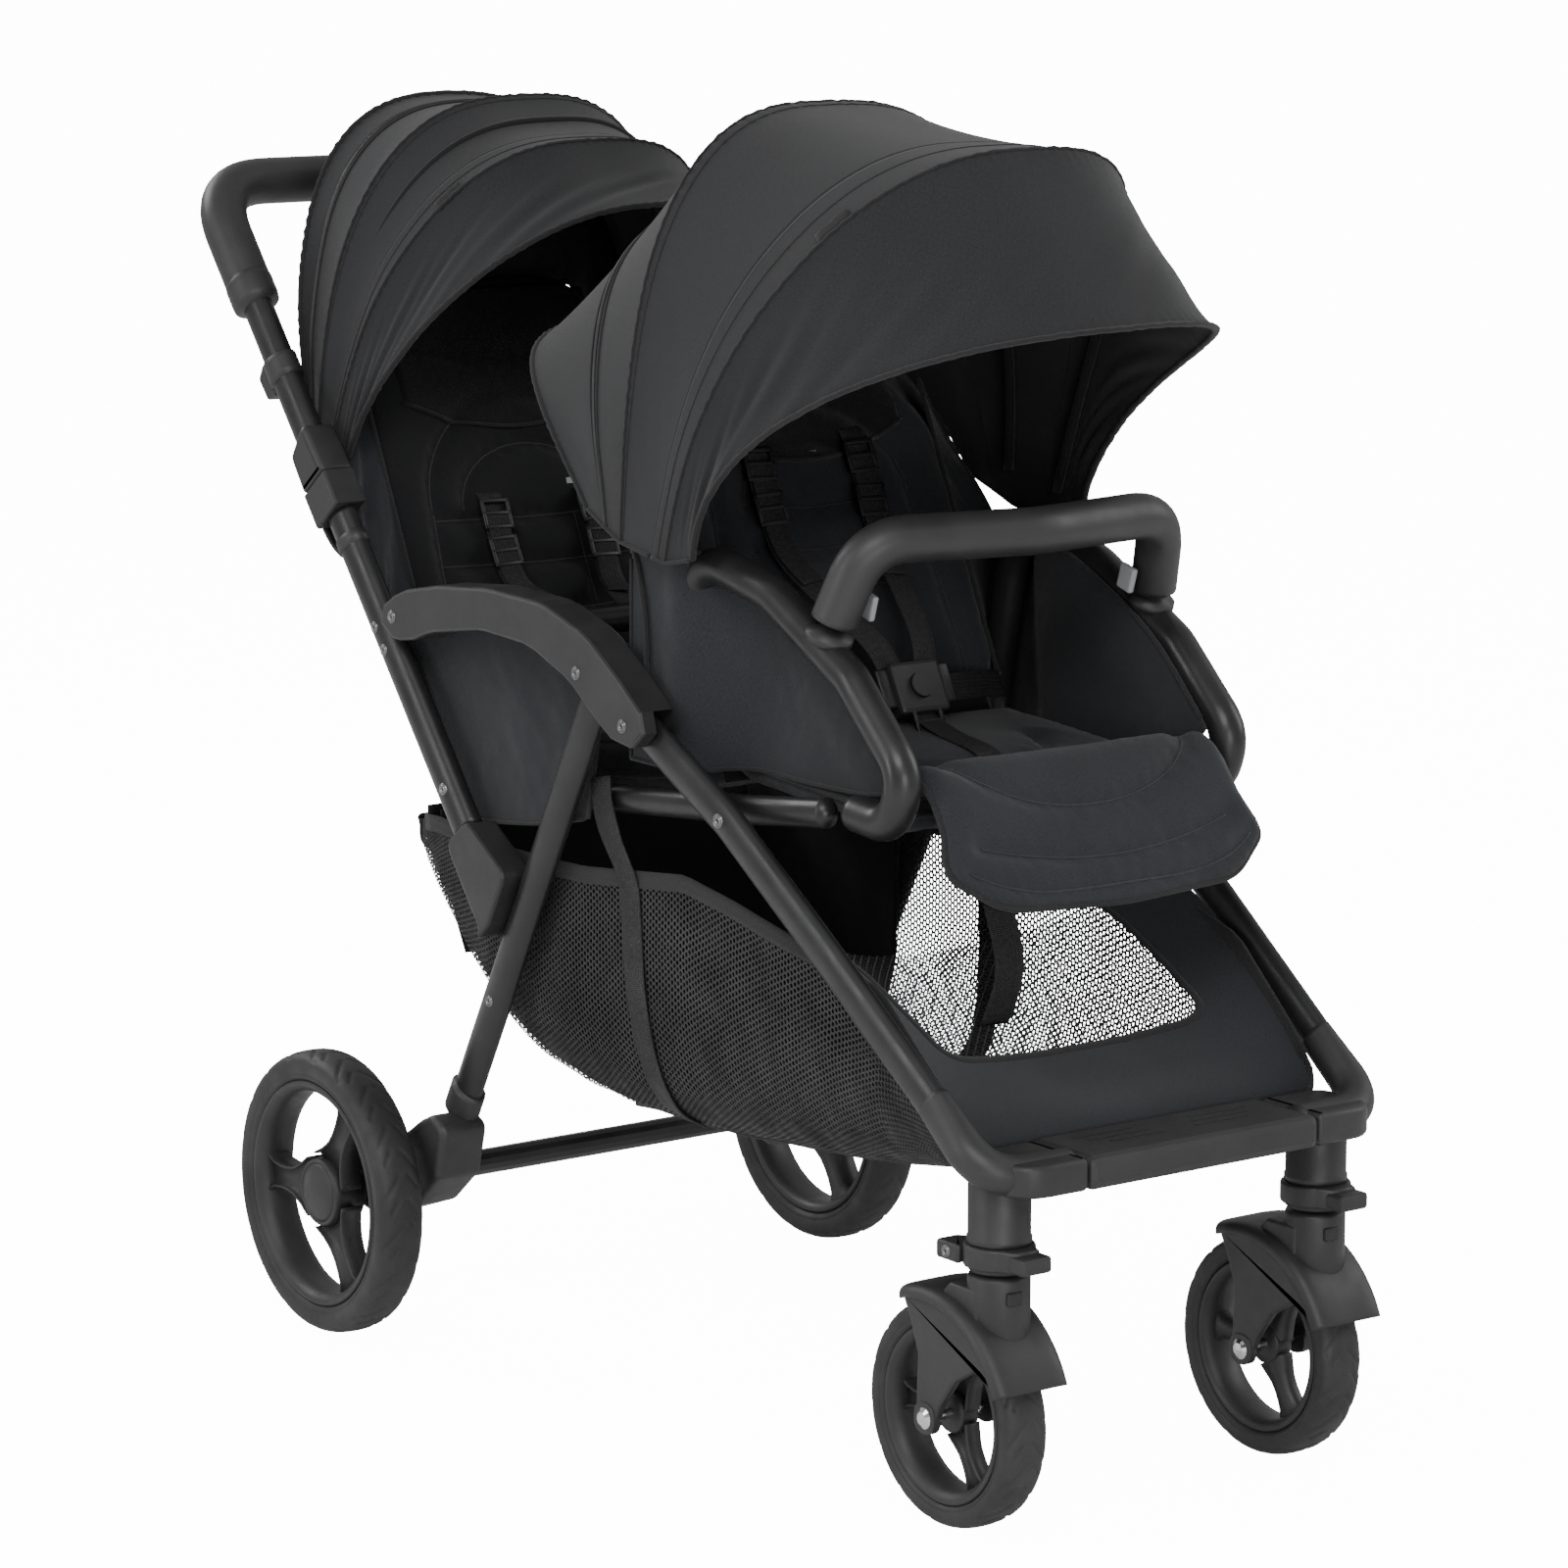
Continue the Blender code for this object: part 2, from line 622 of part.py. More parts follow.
def swivel_lock(side, sign):
    """A tab at the front of the collar that is pressed in to hold the caster straight."""
    place = pivot(f"swivel_lock_{side}_slide", at(sign * FRONT_WHEEL_X, -0.868, 0.2345))
    tab = block(
        f"swivel_lock_{side}", at(sign * FRONT_WHEEL_X, -0.8635, 0.2345), (0.0300, 0.030, 0.0142), 0.003, moulded()
    )
    carry(place, tab)
    return place


# Seats


def seats(root):
    """Plain closed cushions, two backrests that recline and a calf rest that drops."""
    width = 2 * SEAT_HALF_WIDTH
    block("front_seat_cushion", at(0, -0.5600, 0.566), (width, 0.232, 0.046), 0.015, seat_cloth(), math.radians(4))
    block("rear_seat_cushion", at(0, -0.1700, 0.531), (width, 0.300, 0.046), 0.015, seat_cloth(), math.radians(-3))
    recline("front_backrest", FRONT_BACKREST_HINGE, 0.300, root)
    recline("rear_backrest", REAR_BACKREST_HINGE, 0.390, root)
    hinge = pivot("calf_rest_axis", at(0, *CALF_HINGE))
    carry(root, hinge)
    centre = at(0, CALF_HINGE[0] - 0.062, CALF_HINGE[1] - 0.019)
    rest = block("calf_rest", centre, (0.302, 0.024, 0.118), 0.010, seat_cloth(), math.radians(-34))
    carry(hinge, rest)
    for name, along, up in (("front", -0.503, 0.626), ("rear", -0.085, 0.590)):
        buckle(name, along, up, root)


def recline(name, hinge_place, length, root):
    hinge = pivot(f"{name}_axis", at(0, *hinge_place))
    carry(root, hinge)
    middle = polar(hinge_place, length / 2 + 0.022, math.degrees(BACKREST_LEAN))
    size = (2 * SEAT_HALF_WIDTH, 0.032, length)
    back = block(name, at(0, *middle), size, 0.012, seat_cloth(), BACKREST_LEAN - math.pi / 2)
    carry(hinge, back)


def buckle(name, along, up, root):
    """The harness's square buckle, and the round button that opens it."""
    body = block_mesh(at(0, along, up), (0.052, 0.018, 0.046), 0.004, math.radians(-28))
    out = Vector((0, -math.cos(math.radians(28)), math.sin(math.radians(28))))
    base = at(0, along, up) + out * 0.0045
    well = rod_mesh([base, base + out * 0.02], 0.0113, 0, 6)
    cut(f"{name}_buckle", body, [well], moulded())
    slide = pivot(f"{name}_buckle_slide", base + out * 0.003)
    carry(root, slide)
    button = rod(f"{name}_buckle_button", [base + out * 0.0032, base + out * 0.0080], 0.0108, moulded(), 0, 6)
    carry(slide, button)


# Canopies


def canopy(name, hub, radius, half_width, angles, root):
    """Three curved panels about one line across the frame, each a step apart so that they nest when folded."""
    back, rear_bow, front_bow, rim = angles
    spans = {"rear": (back, rear_bow, 1), "middle": (rear_bow, front_bow, 0), "visor": (front_bow, rim, 2)}
    carrier = root
    for panel, (start, end, step) in spans.items():
        reach = radius + step * CANOPY_STEP
        width = half_width + step * CANOPY_STEP / 2
        shell = canopy_panel(f"{name}_canopy_{panel}", hub, reach, width, start, end)
        if panel != "rear":
            hinge = pivot(f"{name}_canopy_{panel}_axis", at(0, *hub))
            carry(carrier, hinge)
            carrier = hinge
        carry(carrier, shell)


def canopy_panel(name, hub, radius, half_width, start, end, fullness=3.0):
    """A strip of a domed surface turned about the hub's line, from one angle to another, with a thin wall."""
    columns, rows = 16, max(3, round((end - start) / 11))
    first = math.asin((0.045 / radius) ** (fullness / 2))
    working = bmesh.new()
    lines = []
    for row in range(rows + 1):
        angle = start + (end - start) * row / rows
        line = []
        for column in range(columns + 1):
            turn = first + (math.pi - 2 * first) * column / columns
            across = math.copysign(abs(math.cos(turn)) ** (2 / fullness), math.cos(turn)) * half_width
            reach = math.sin(turn) ** (2 / fullness) * radius
            line.append(working.verts.new(at(across, *polar(hub, reach, angle))))
        lines.append(line)
    for low, high in zip(lines, lines[1:]):
        for column in range(columns):
            working.faces.new((low[column], low[column + 1], high[column + 1], high[column]))
    bmesh.ops.recalc_face_normals(working, faces=working.faces)
    middle = lines[rows // 2][columns // 2]
    if middle.normal.dot(middle.co - at(0, *hub)) < 0:
        bmesh.ops.reverse_faces(working, faces=working.faces)
    mesh = bpy.data.meshes.new(name)
    working.to_mesh(mesh)
    working.free()
    shell = add(name, mesh, canopy_cloth(), smooth=True)
    wall = shell.modifiers.new("wall", "SOLIDIFY")
    wall.thickness = CANOPY_WALL
    wall.offset = -1
    return shell


# Front tray and basket


def bumper_bar(root):
    """An arch across the front seat that swings open about its right end, with a release inside each arm."""
    ends = (-0.6115, 0.7080)
    hinge = pivot("bumper_axis", at(0.168, *ends))
    carry(root, hinge)
    bow = [
        at(-0.168, *ends),
        at(-0.154, -0.6385, 0.778),
        at(0, -0.6625, 0.777),
        at(0.154, -0.6385, 0.778),
        at(0.168, *ends),
    ]
    carry(hinge, rod("bumper_bar", bow, 0.0195, black_paint(), 0.066, 4))
    for side, sign in SIDES.items():
        middle = at(sign * 0.1355, -0.6163, 0.722)
        slide = pivot(f"bumper_release_{side}_slide", middle)
        carry(hinge, slide)
        tab = block(f"bumper_release_{side}", middle, (0.006, 0.018, 0.022), 0.002, grey_plastic(), 0.3)
        carry(slide, tab)


def basket():
    """A sagging tub of cloth between the legs, open along its top."""
    stations = (
        (-0.800, 0.182, 0.312, 0.326),
        (-0.740, 0.186, 0.288, 0.372),
        (-0.657, 0.188, 0.271, 0.424),
        (-0.560, 0.189, 0.257, 0.462),
        (-0.450, 0.189, 0.250, 0.480),
        (-0.304, 0.189, 0.254, 0.467),
        (-0.181, 0.188, 0.268, 0.458),
        (-0.100, 0.184, 0.300, 0.455),
        (-0.056, 0.178, 0.360, 0.453),
        (-0.038, 0.170, 0.438, 0.452),
    )
    columns = 14
    working = bmesh.new()
    lines = []
    for along, half, low, high in stations:
        line = []
        for column in range(columns + 1):
            turn = math.pi * (1 + column / columns)
            across = math.copysign(abs(math.cos(turn)) ** 0.5, math.cos(turn)) * half
            up = high - (high - low) * abs(math.sin(turn)) ** 0.5
            line.append(working.verts.new(at(across, along, up)))
        lines.append(line)
    for back, ahead in zip(lines, lines[1:]):
        for column in range(columns):
            working.faces.new((back[column], back[column + 1], ahead[column + 1], ahead[column]))
    for end in (lines[0], lines[-1]):
        working.faces.new(end)
    bmesh.ops.recalc_face_normals(working, faces=working.faces)
    mesh = bpy.data.meshes.new("basket")
    working.to_mesh(mesh)
    working.free()
    shell = add("basket", mesh, basket_mesh(), smooth=True)
    wall = shell.modifiers.new("wall", "SOLIDIFY")
    wall.thickness = 0.003
    wall.offset = -1


def main():
    for old in list(bpy.data.objects):
        bpy.data.objects.remove(old)
    root = pivot("frame_root", at(0, 0, 0))
    side_frame()
    handle(root)
    rear = rear_legs(root)
    rear_wheels(rear)
    front = front_legs(root)
    casters(front)
    seats(root)
    canopy("front", FRONT_CANOPY_HUB, FRONT_CANOPY_RADIUS, FRONT_CANOPY_HALF_WIDTH, FRONT_CANOPY_ANGLES, root)
    canopy("rear", REAR_CANOPY_HUB, REAR_CANOPY_RADIUS, REAR_CANOPY_HALF_WIDTH, REAR_CANOPY_ANGLES, root)
    bumper_bar(root)
    basket()
    bpy.context.view_layer.update()


main()
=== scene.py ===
"""Looks of the tandem pushchair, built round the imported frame.

Metres, +Z up, the front at -Y. Places are (across, along, up) from the rear axle's line on the ground.
"""

import math

import bmesh
import bpy
import numpy as np
from mathutils import Matrix, Vector, noise
from mathutils.bvhtree import BVHTree


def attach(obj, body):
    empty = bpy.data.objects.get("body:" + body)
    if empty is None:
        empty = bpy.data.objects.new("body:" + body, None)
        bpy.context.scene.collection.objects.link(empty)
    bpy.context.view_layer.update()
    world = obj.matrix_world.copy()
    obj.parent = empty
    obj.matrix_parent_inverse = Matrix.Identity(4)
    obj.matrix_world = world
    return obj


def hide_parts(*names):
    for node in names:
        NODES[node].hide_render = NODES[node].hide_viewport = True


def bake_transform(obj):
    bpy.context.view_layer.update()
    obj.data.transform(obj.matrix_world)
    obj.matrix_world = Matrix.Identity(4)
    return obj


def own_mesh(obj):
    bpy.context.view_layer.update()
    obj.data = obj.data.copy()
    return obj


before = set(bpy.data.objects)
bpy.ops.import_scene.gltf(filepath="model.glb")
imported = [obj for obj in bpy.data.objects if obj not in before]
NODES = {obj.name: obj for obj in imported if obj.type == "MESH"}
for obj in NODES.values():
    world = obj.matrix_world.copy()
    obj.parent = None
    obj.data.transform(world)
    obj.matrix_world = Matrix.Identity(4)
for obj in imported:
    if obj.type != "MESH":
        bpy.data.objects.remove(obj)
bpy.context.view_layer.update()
AXLE_BEHIND_MIDDLE = 0.2872
SIDES = {"left": -1, "right": 1}
X = np.array((1.0, 0.0, 0.0))


def at(across, along, up):
    return np.array((across, along + AXLE_BEHIND_MIDDLE, up), float)


def polar(centre, radius, angle):
    turn = math.radians(angle)
    return centre[0] + radius * math.cos(turn), centre[1] + radius * math.sin(turn)


def unit(v):
    v = np.asarray(v, float)
    return v / np.maximum(np.linalg.norm(v, axis=-1, keepdims=True), 1e-12)


# Materials


def new_material(name):
    made = bpy.data.materials.new(name)
    made.use_nodes = True
    tree = made.node_tree
    return made, tree, tree.nodes["Principled BSDF"]


def node(tree, kind, inputs=None, **settings):
    made = tree.nodes.new(kind)
    for key, value in settings.items():
        setattr(made, key, value)
    for key, value in (inputs or {}).items():
        if isinstance(value, bpy.types.NodeSocket):
            tree.links.new(value, made.inputs[key])
        else:
            made.inputs[key].default_value = value
    return made


def calc(tree, operation, *values):
    return node(tree, "ShaderNodeMath", dict(enumerate(values)), operation=operation).outputs[0]


def noise_of(tree, place, scale, detail=2.0, roughness=0.5):
    made = node(
        tree,
        "ShaderNodeTexNoise",
        {"Vector": place, "Scale": scale, "Detail": detail, "Roughness": roughness}
    )
    return made.outputs["Fac"]


def span(tree, value, low, high, start=0.35, end=0.65):
    inputs = {"Value": value, "From Min": start, "From Max": end, "To Min": low, "To Max": high}
    return node(tree, "ShaderNodeMapRange", inputs).outputs["Result"]


def mixed(tree, share, first, second):
    made = node(tree, "ShaderNodeMix", data_type="RGBA")
    for socket, value in ((made.inputs[0], share), (made.inputs[6], first), (made.inputs[7], second)):
        if isinstance(value, bpy.types.NodeSocket):
            tree.links.new(value, socket)
        else:
            socket.default_value = value if isinstance(value, float) else (*value, 1.0)
    return made.outputs[2]


def bump(tree, shader, height, strength, distance):
    made = node(tree, "ShaderNodeBump", {"Height": height, "Strength": strength, "Distance": distance})
    tree.links.new(made.outputs["Normal"], shader.inputs["Normal"])


def hard(name, dark, light, rough, grain, grain_strength, metallic=0.0, patches=18.0):
    """A painted, moulded or rubber surface: patchy colour and gloss over a fine grain."""
    made, tree, shader = new_material(name)
    place = node(tree, "ShaderNodeTexCoord").outputs["Object"]
    broad = noise_of(tree, place, patches, 4.0)
    colour = mixed(tree, span(tree, broad, 0.0, 1.0), dark, light)
    tree.links.new(colour, shader.inputs["Base Color"])
    tree.links.new(
        span(tree, noise_of(tree, place, patches * 2.3, 5.0), *rough), shader.inputs["Roughness"]
    )
    shader.inputs["Metallic"].default_value = metallic
    bump(tree, shader, noise_of(tree, place, grain, 3.0), grain_strength, 0.0004)
    return made


def uv_parts(tree):
    place = node(tree, "ShaderNodeUVMap", uv_map="UVMap").outputs["UV"]
    parts = node(tree, "ShaderNodeSeparateXYZ", {"Vector": place})
    return place, parts.outputs["X"], parts.outputs["Y"]


def wave(tree, value, pitch):
    return calc(tree, "SINE", calc(tree, "MULTIPLY", value, 2 * math.pi / pitch))


def cloth(name, dark, light, pitch=0.0011, strength=0.35, sheen=0.12, rough=(0.82, 0.95), slub=1.0):
    """Woven cloth: crossed threads, uneven yarn and slightly varied dye."""
    made, tree, shader = new_material(name)
    place, u, v = uv_parts(tree)
    crossed = calc(tree, "MULTIPLY", wave(tree, u, pitch), wave(tree, v, pitch))
    along = node(
        tree, "ShaderNodeMapping", {"Vector": place, "Scale": (2200 * slub, 420 * slub, 1.0)}
    ).outputs["Vector"]
    over = node(
        tree, "ShaderNodeMapping", {"Vector": place, "Scale": (420 * slub, 2200 * slub, 1.0)}
    ).outputs["Vector"]
    yarn = calc(tree, "ADD", noise_of(tree, along, 1.0, 1.0), noise_of(tree, over, 1.0, 1.0))
    broad = noise_of(tree, place, 9.0, 5.0)
    share = calc(tree, "ADD", span(tree, yarn, -0.25, 0.75, 0.7, 1.3), span(tree, broad, 0.0, 0.5))
    share = calc(tree, "ADD", share, calc(tree, "MULTIPLY", crossed, 0.18))
    tree.links.new(
        mixed(tree, calc(tree, "MINIMUM", calc(tree, "MAXIMUM", share, 0.0), 1.0), dark, light),
        shader.inputs["Base Color"]
    )
    tree.links.new(span(tree, broad, *rough), shader.inputs["Roughness"])
    shader.inputs["Sheen Weight"].default_value = sheen
    shader.inputs["Sheen Roughness"].default_value = 0.45
    shader.inputs["Specular IOR Level"].default_value = 0.25
    height = calc(tree, "ADD", crossed, calc(tree, "MULTIPLY", yarn, 1.6))
    bump(tree, shader, height, strength, 0.00025)
    return made


def webbing(name, dark, light, rib=0.0016):
    """A woven strap: ribs across it and a few ridges along it."""
    made, tree, shader = new_material(name)
    place, u, v = uv_parts(tree)
    ribs = calc(tree, "ADD", wave(tree, v, rib), calc(tree, "MULTIPLY", wave(tree, u, 0.0034), 0.7))
    share = calc(
        tree,
        "ADD",
        span(tree, noise_of(tree, place, 260.0, 2.0), 0.0, 0.6),
        calc(tree, "MULTIPLY", ribs, 0.2)
    )
    tree.links.new(mixed(tree, calc(tree, "MAXIMUM", share, 0.0), dark, light), shader.inputs["Base Color"])
    tree.links.new(span(tree, noise_of(tree, place, 30.0), 0.55, 0.75), shader.inputs["Roughness"])
    bump(tree, shader, ribs, 0.6, 0.0004)
    return made


def net(name, dark, light, pitch, hole):
    """Knitted mesh: rows of open round cells, every other row half a cell across."""
    made, tree, shader = new_material(name)
    place, u, v = uv_parts(tree)
    row = calc(tree, "DIVIDE", v, pitch * 0.866)
    shift = calc(tree, "MULTIPLY", calc(tree, "FLOORED_MODULO", calc(tree, "FLOOR", row), 2.0), 0.5)
    column = calc(tree, "ADD", calc(tree, "DIVIDE", u, pitch), shift)
    across = calc(tree, "SUBTRACT", calc(tree, "FRACT", column), 0.5)
    up = calc(tree, "MULTIPLY", calc(tree, "SUBTRACT", calc(tree, "FRACT", row), 0.5), 0.866)
    square = calc(tree, "ADD", calc(tree, "MULTIPLY", across, across), calc(tree, "MULTIPLY", up, up))
    radius = calc(tree, "SQRT", square)
    thread = span(tree, radius, 0.0, 1.0, hole - 0.04, hole + 0.02)
    broad = span(tree, noise_of(tree, place, 14.0, 3.0), 0.0, 1.0)
    tree.links.new(mixed(tree, broad, dark, light), shader.inputs["Base Color"])
    tree.links.new(span(tree, noise_of(tree, place, 40.0), 0.6, 0.85), shader.inputs["Roughness"])
    bump(tree, shader, radius, 0.5, 0.0006)
    clear = node(tree, "ShaderNodeBsdfTransparent")
    both = node(tree, "ShaderNodeMixShader", {"Fac": thread, 1: clear.outputs[0], 2: shader.outputs[0]})
    tree.links.new(both.outputs[0], tree.nodes["Material Output"].inputs["Surface"])
    return made


PAINT = hard(
    "satin_black_paint", (0.017, 0.017, 0.018), (0.023, 0.023, 0.024), (0.30, 0.40), 1300.0, 0.05, 0.25
)
PLASTIC = hard(
    "grained_black_plastic", (0.018, 0.018, 0.019), (0.025, 0.025, 0.026), (0.44, 0.56), 1500.0, 0.16
)
DEEP_PLASTIC = hard(
    "deep_black_plastic", (0.008, 0.008, 0.009), (0.013, 0.013, 0.014), (0.4, 0.55), 1500.0, 0.12
)
RUBBER = hard("tyre_rubber", (0.016, 0.016, 0.017), (0.026, 0.026, 0.027), (0.52, 0.68), 900.0, 0.14)
FOAM = hard("handle_foam", (0.021, 0.021, 0.022), (0.027, 0.027, 0.028), (0.42, 0.52), 1000.0, 0.10)
CHROME = hard("chrome_bolt", (0.62, 0.62, 0.64), (0.78, 0.78, 0.80), (0.10, 0.22), 700.0, 0.02, 1.0)
GREY = hard("grey_plastic", (0.28, 0.29, 0.30), (0.36, 0.37, 0.38), (0.36, 0.48), 1300.0, 0.08)
STEEL = hard("dark_screw_steel", (0.16, 0.16, 0.165), (0.24, 0.24, 0.245), (0.26, 0.36), 900.0, 0.05, 0.9)
CANOPY = cloth("charcoal_canopy_cloth", (0.0140, 0.0143, 0.0155), (0.0265, 0.0270, 0.0290))
LINING = cloth("black_lining", (0.006, 0.006, 0.007), (0.012, 0.012, 0.013), 0.0009, 0.2)
SEAT = cloth("graphite_seat_cloth", (0.0155, 0.0165, 0.0190), (0.030, 0.0315, 0.036))
DARK_SEAT = cloth("black_seat_cloth", (0.006, 0.0062, 0.007), (0.013, 0.0135, 0.015))
BINDING = cloth("bound_edge", (0.012, 0.012, 0.013), (0.028, 0.028, 0.030), 0.0016, 0.5)
THREAD = cloth("sewing_thread", (0.02, 0.02, 0.022), (0.045, 0.045, 0.048), 0.0012, 0.4)
STRAP = webbing("harness_webbing", (0.007, 0.007, 0.0075), (0.026, 0.026, 0.028))
TAG = cloth("blank_tag", (0.009, 0.009, 0.010), (0.016, 0.016, 0.017), 0.0008, 0.3)
SIDE_NET = net("black_side_mesh", (0.016, 0.016, 0.017), (0.032, 0.032, 0.034), 0.0052, 0.36)
HEAD_NET = cloth("headrest_spacer_mesh", (0.004, 0.004, 0.0045), (0.014, 0.014, 0.015), 0.0026, 0.9)
WINDOW = cloth("window_cord", (0.005, 0.005, 0.0055), (0.011, 0.011, 0.012), 0.001, 0.3)


# Meshes


def build(name, verts, faces, uvs=None, smooth=True):
    mesh = bpy.data.meshes.new(name)
    mesh.from_pydata(np.asarray(verts, float).tolist(), [], [list(map(int, f)) for f in faces])
    if uvs is not None:
        corner = np.zeros(len(mesh.loops), int)
        mesh.loops.foreach_get("vertex_index", corner)
        mesh.uv_layers.new(name="UVMap").data.foreach_set("uv", np.asarray(uvs, float)[corner].ravel())
    mesh.polygons.foreach_set("use_smooth", [smooth] * len(mesh.polygons))
    return mesh


def put(name, mesh, material, body=None, replaces=()):
    made = bpy.data.objects.new(name, mesh)
    bpy.context.scene.collection.objects.link(made)
    if material is not None:
        mesh.materials.clear()
        mesh.materials.append(material)
    if body:
        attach(made, body)
    if replaces:
        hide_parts(*replaces)
    return made


def lengths(points):
    points = np.asarray(points, float)
    return np.concatenate([[0.0], np.cumsum(np.linalg.norm(np.diff(points, axis=0), axis=1))])


def resample(points, count=None, closed=False, step=None):
    """A smooth curve through the points, at even steps."""
    points = np.asarray(points, float)
    ring = np.vstack([points[-1], points, points[:2]]) if closed else None
    if not closed:
        ring = np.vstack([2 * points[0] - points[1], points, 2 * points[-1] - points[-2]])
    fine = []
    for i in range(1, len(ring) - 2):
        p0, p1, p2, p3 = ring[i - 1 : i + 3]
        for t in np.linspace(0, 1, 24, endpoint=False):
            a = 2 * p1 + (p2 - p0) * t + (
                2 * p0 - 5 * p1 + 4 * p2 - p3
            ) * t**2 + (3 * p1 - p0 - 3 * p2 + p3) * t**3
            fine.append(a / 2)
    fine.append(ring[-2])
    fine = np.array(fine)
    run = lengths(fine)
    if step:
        count = max(3, round(run[-1] / step) + 1)
    where = np.linspace(0, run[-1], count, endpoint=not closed)
    return np.stack([np.interp(where, run, fine[:, k]) for k in range(3)], axis=1)


def normals_of(grid):
    down = np.gradient(grid, axis=0)
    over = np.gradient(grid, axis=1)
    return unit(np.cross(over, down))


def grid_faces(rows, columns, start=0, flip=False, wrap=False):
    faces = []
    for i in range(rows - 1):
        for j in range(columns if wrap else columns - 1):
            k = (j + 1) % columns
            quad = (
                start + i * columns + j, start + i * columns + k, start + (i + 1) * columns + k,
                start + (i + 1) * columns + j
            )
            faces.append(quad[::-1] if flip else quad)
    return faces


def grid_uv(grid):
    u = np.mean([lengths(row) for row in grid], axis=0)
    v = np.mean([lengths(grid[:, j]) for j in range(grid.shape[1])], axis=0)
    return np.stack(np.meshgrid(u, v), axis=-1)


def sheet_mesh(name, grid, thickness=0.0012, uv=None):
    """A cloth of even thickness whose outer face is the grid."""
    rows, columns = grid.shape[:2]
    inner = grid - normals_of(grid) * thickness
    uv = grid_uv(grid) if uv is None else uv
    size = rows * columns
    faces = grid_faces(rows, columns, 0, True) + grid_faces(rows, columns, size, False)
    edge = [(0, j) for j in range(columns)] + [(i, columns - 1) for i in range(1, rows)]
    edge += [(rows - 1, j) for j in range(columns - 2, -1, -1)] + [(i, 0) for i in range(rows - 2, 0, -1)]
    for (i, j), (k, m) in zip(edge, edge[1:] + edge[:1]):
        a, b = i * columns + j, k * columns + m
        faces.append((a, b, b + size, a + size))
    verts = np.concatenate([grid.reshape(-1, 3), inner.reshape(-1, 3)])
    return build(name, verts, faces, np.concatenate([uv.reshape(-1, 2)] * 2))


def area_of(grid):
    a, b = grid[1:, 1:] - grid[:-1, :-1], grid[1:, :-1] - grid[:-1, 1:]
    return float(np.linalg.norm(np.cross(a, b), axis=-1).sum() / 2)


def declare(made, grid, rests_on):
    """Works out how large the sheet was cut: the longest row and column, and the grid's own area; nothing
    is done with them.
    """
    width = max(lengths(row)[-1] for row in grid[:: max(1, len(grid) // 12)])
    length = max(lengths(grid[:, j])[-1] for j in range(0, grid.shape[1], max(1, grid.shape[1] // 12)))
    area = min(area_of(grid), width * length)
    area = max(area, 0.3 * width * length)
    return made


def frames(points, closed=False):
    points = np.asarray(points, float)
    if closed:
        tangent = unit(np.roll(points, -1, 0) - np.roll(points, 1, 0))
    else:
        tangent = unit(np.gradient(points, axis=0))
    side = np.cross(tangent[0], (0, 0, 1.0))
    if np.linalg.norm(side) < 0.1:
        side = np.cross(tangent[0], (0, 1.0, 0))
    sides = []
    for t in tangent:
        side = unit(side - t * np.dot(side, t))
        sides.append(side)
    return tangent, np.array(sides), np.cross(tangent, np.array(sides))


def tube_mesh(name, points, radius, sides=12, closed=False, caps=True, flat=1.0):
    points = np.asarray(points, float)
    count = len(points)
    _, side, up = frames(points, closed)
    radius = np.broadcast_to(np.asarray(radius, float), (count,))
    turn = np.linspace(0, 2 * math.pi, sides, endpoint=False)
    ring = np.cos(turn)[None, :, None] * side[:, None] + np.sin(turn)[None, :, None] * up[:, None] * flat
    verts = points[:, None] + ring * radius[:, None, None]
    run = lengths(points)
    uvs = np.stack(np.meshgrid(turn * radius.mean(), run), axis=-1).reshape(-1, 2)
    faces = grid_faces(count, sides, 0, True, True)
    if closed:
        last = (count - 1) * sides
        for j in range(sides):
            k = (j + 1) % sides
            faces.append((j, last + j, last + k, k)[::-1])
    elif caps:
        faces += [tuple(range(sides)), tuple(range((count - 1) * sides, count * sides))[::-1]]
    return build(name, verts.reshape(-1, 3), faces, uvs)


def band_mesh(name, points, across, width, thickness):
    """A strap along a path: across gives the direction of its width at each point."""
    points = np.asarray(points, float)
    tangent = unit(np.gradient(points, axis=0))
    across = np.broadcast_to(np.asarray(across, float), points.shape)
    across = unit(across - tangent * np.sum(across * tangent, axis=1, keepdims=True))
    out = np.cross(tangent, across)
    width = np.broadcast_to(np.asarray(width, float), (len(points),))[:, None]
    h, t = width / 2, thickness / 2
    shape = ((-1, -0.4), (-0.93, -1), (-0.3, -0.86), (0.3, -0.86), (0.93, -1), (1, -0.4))
    shape += ((1, 0.4), (0.93, 1), (0.3, 0.86), (-0.3, 0.86), (-0.93, 1), (-1, 0.4))
    ring = np.stack([points + across * h * a + out * t * b for a, b in shape], axis=1)
    run = lengths(points)
    u = np.array([a for a, b in shape]) * float(width.mean()) / 2
    uvs = np.stack(np.meshgrid(u, run), axis=-1).reshape(-1, 2)
    sides = len(shape)
    faces = grid_faces(len(points), sides, 0, False, True)
    faces += [tuple(range(sides))[::-1], tuple(range((len(points) - 1) * sides, len(points) * sides))]
    return build(name, ring.reshape(-1, 3), faces, uvs)


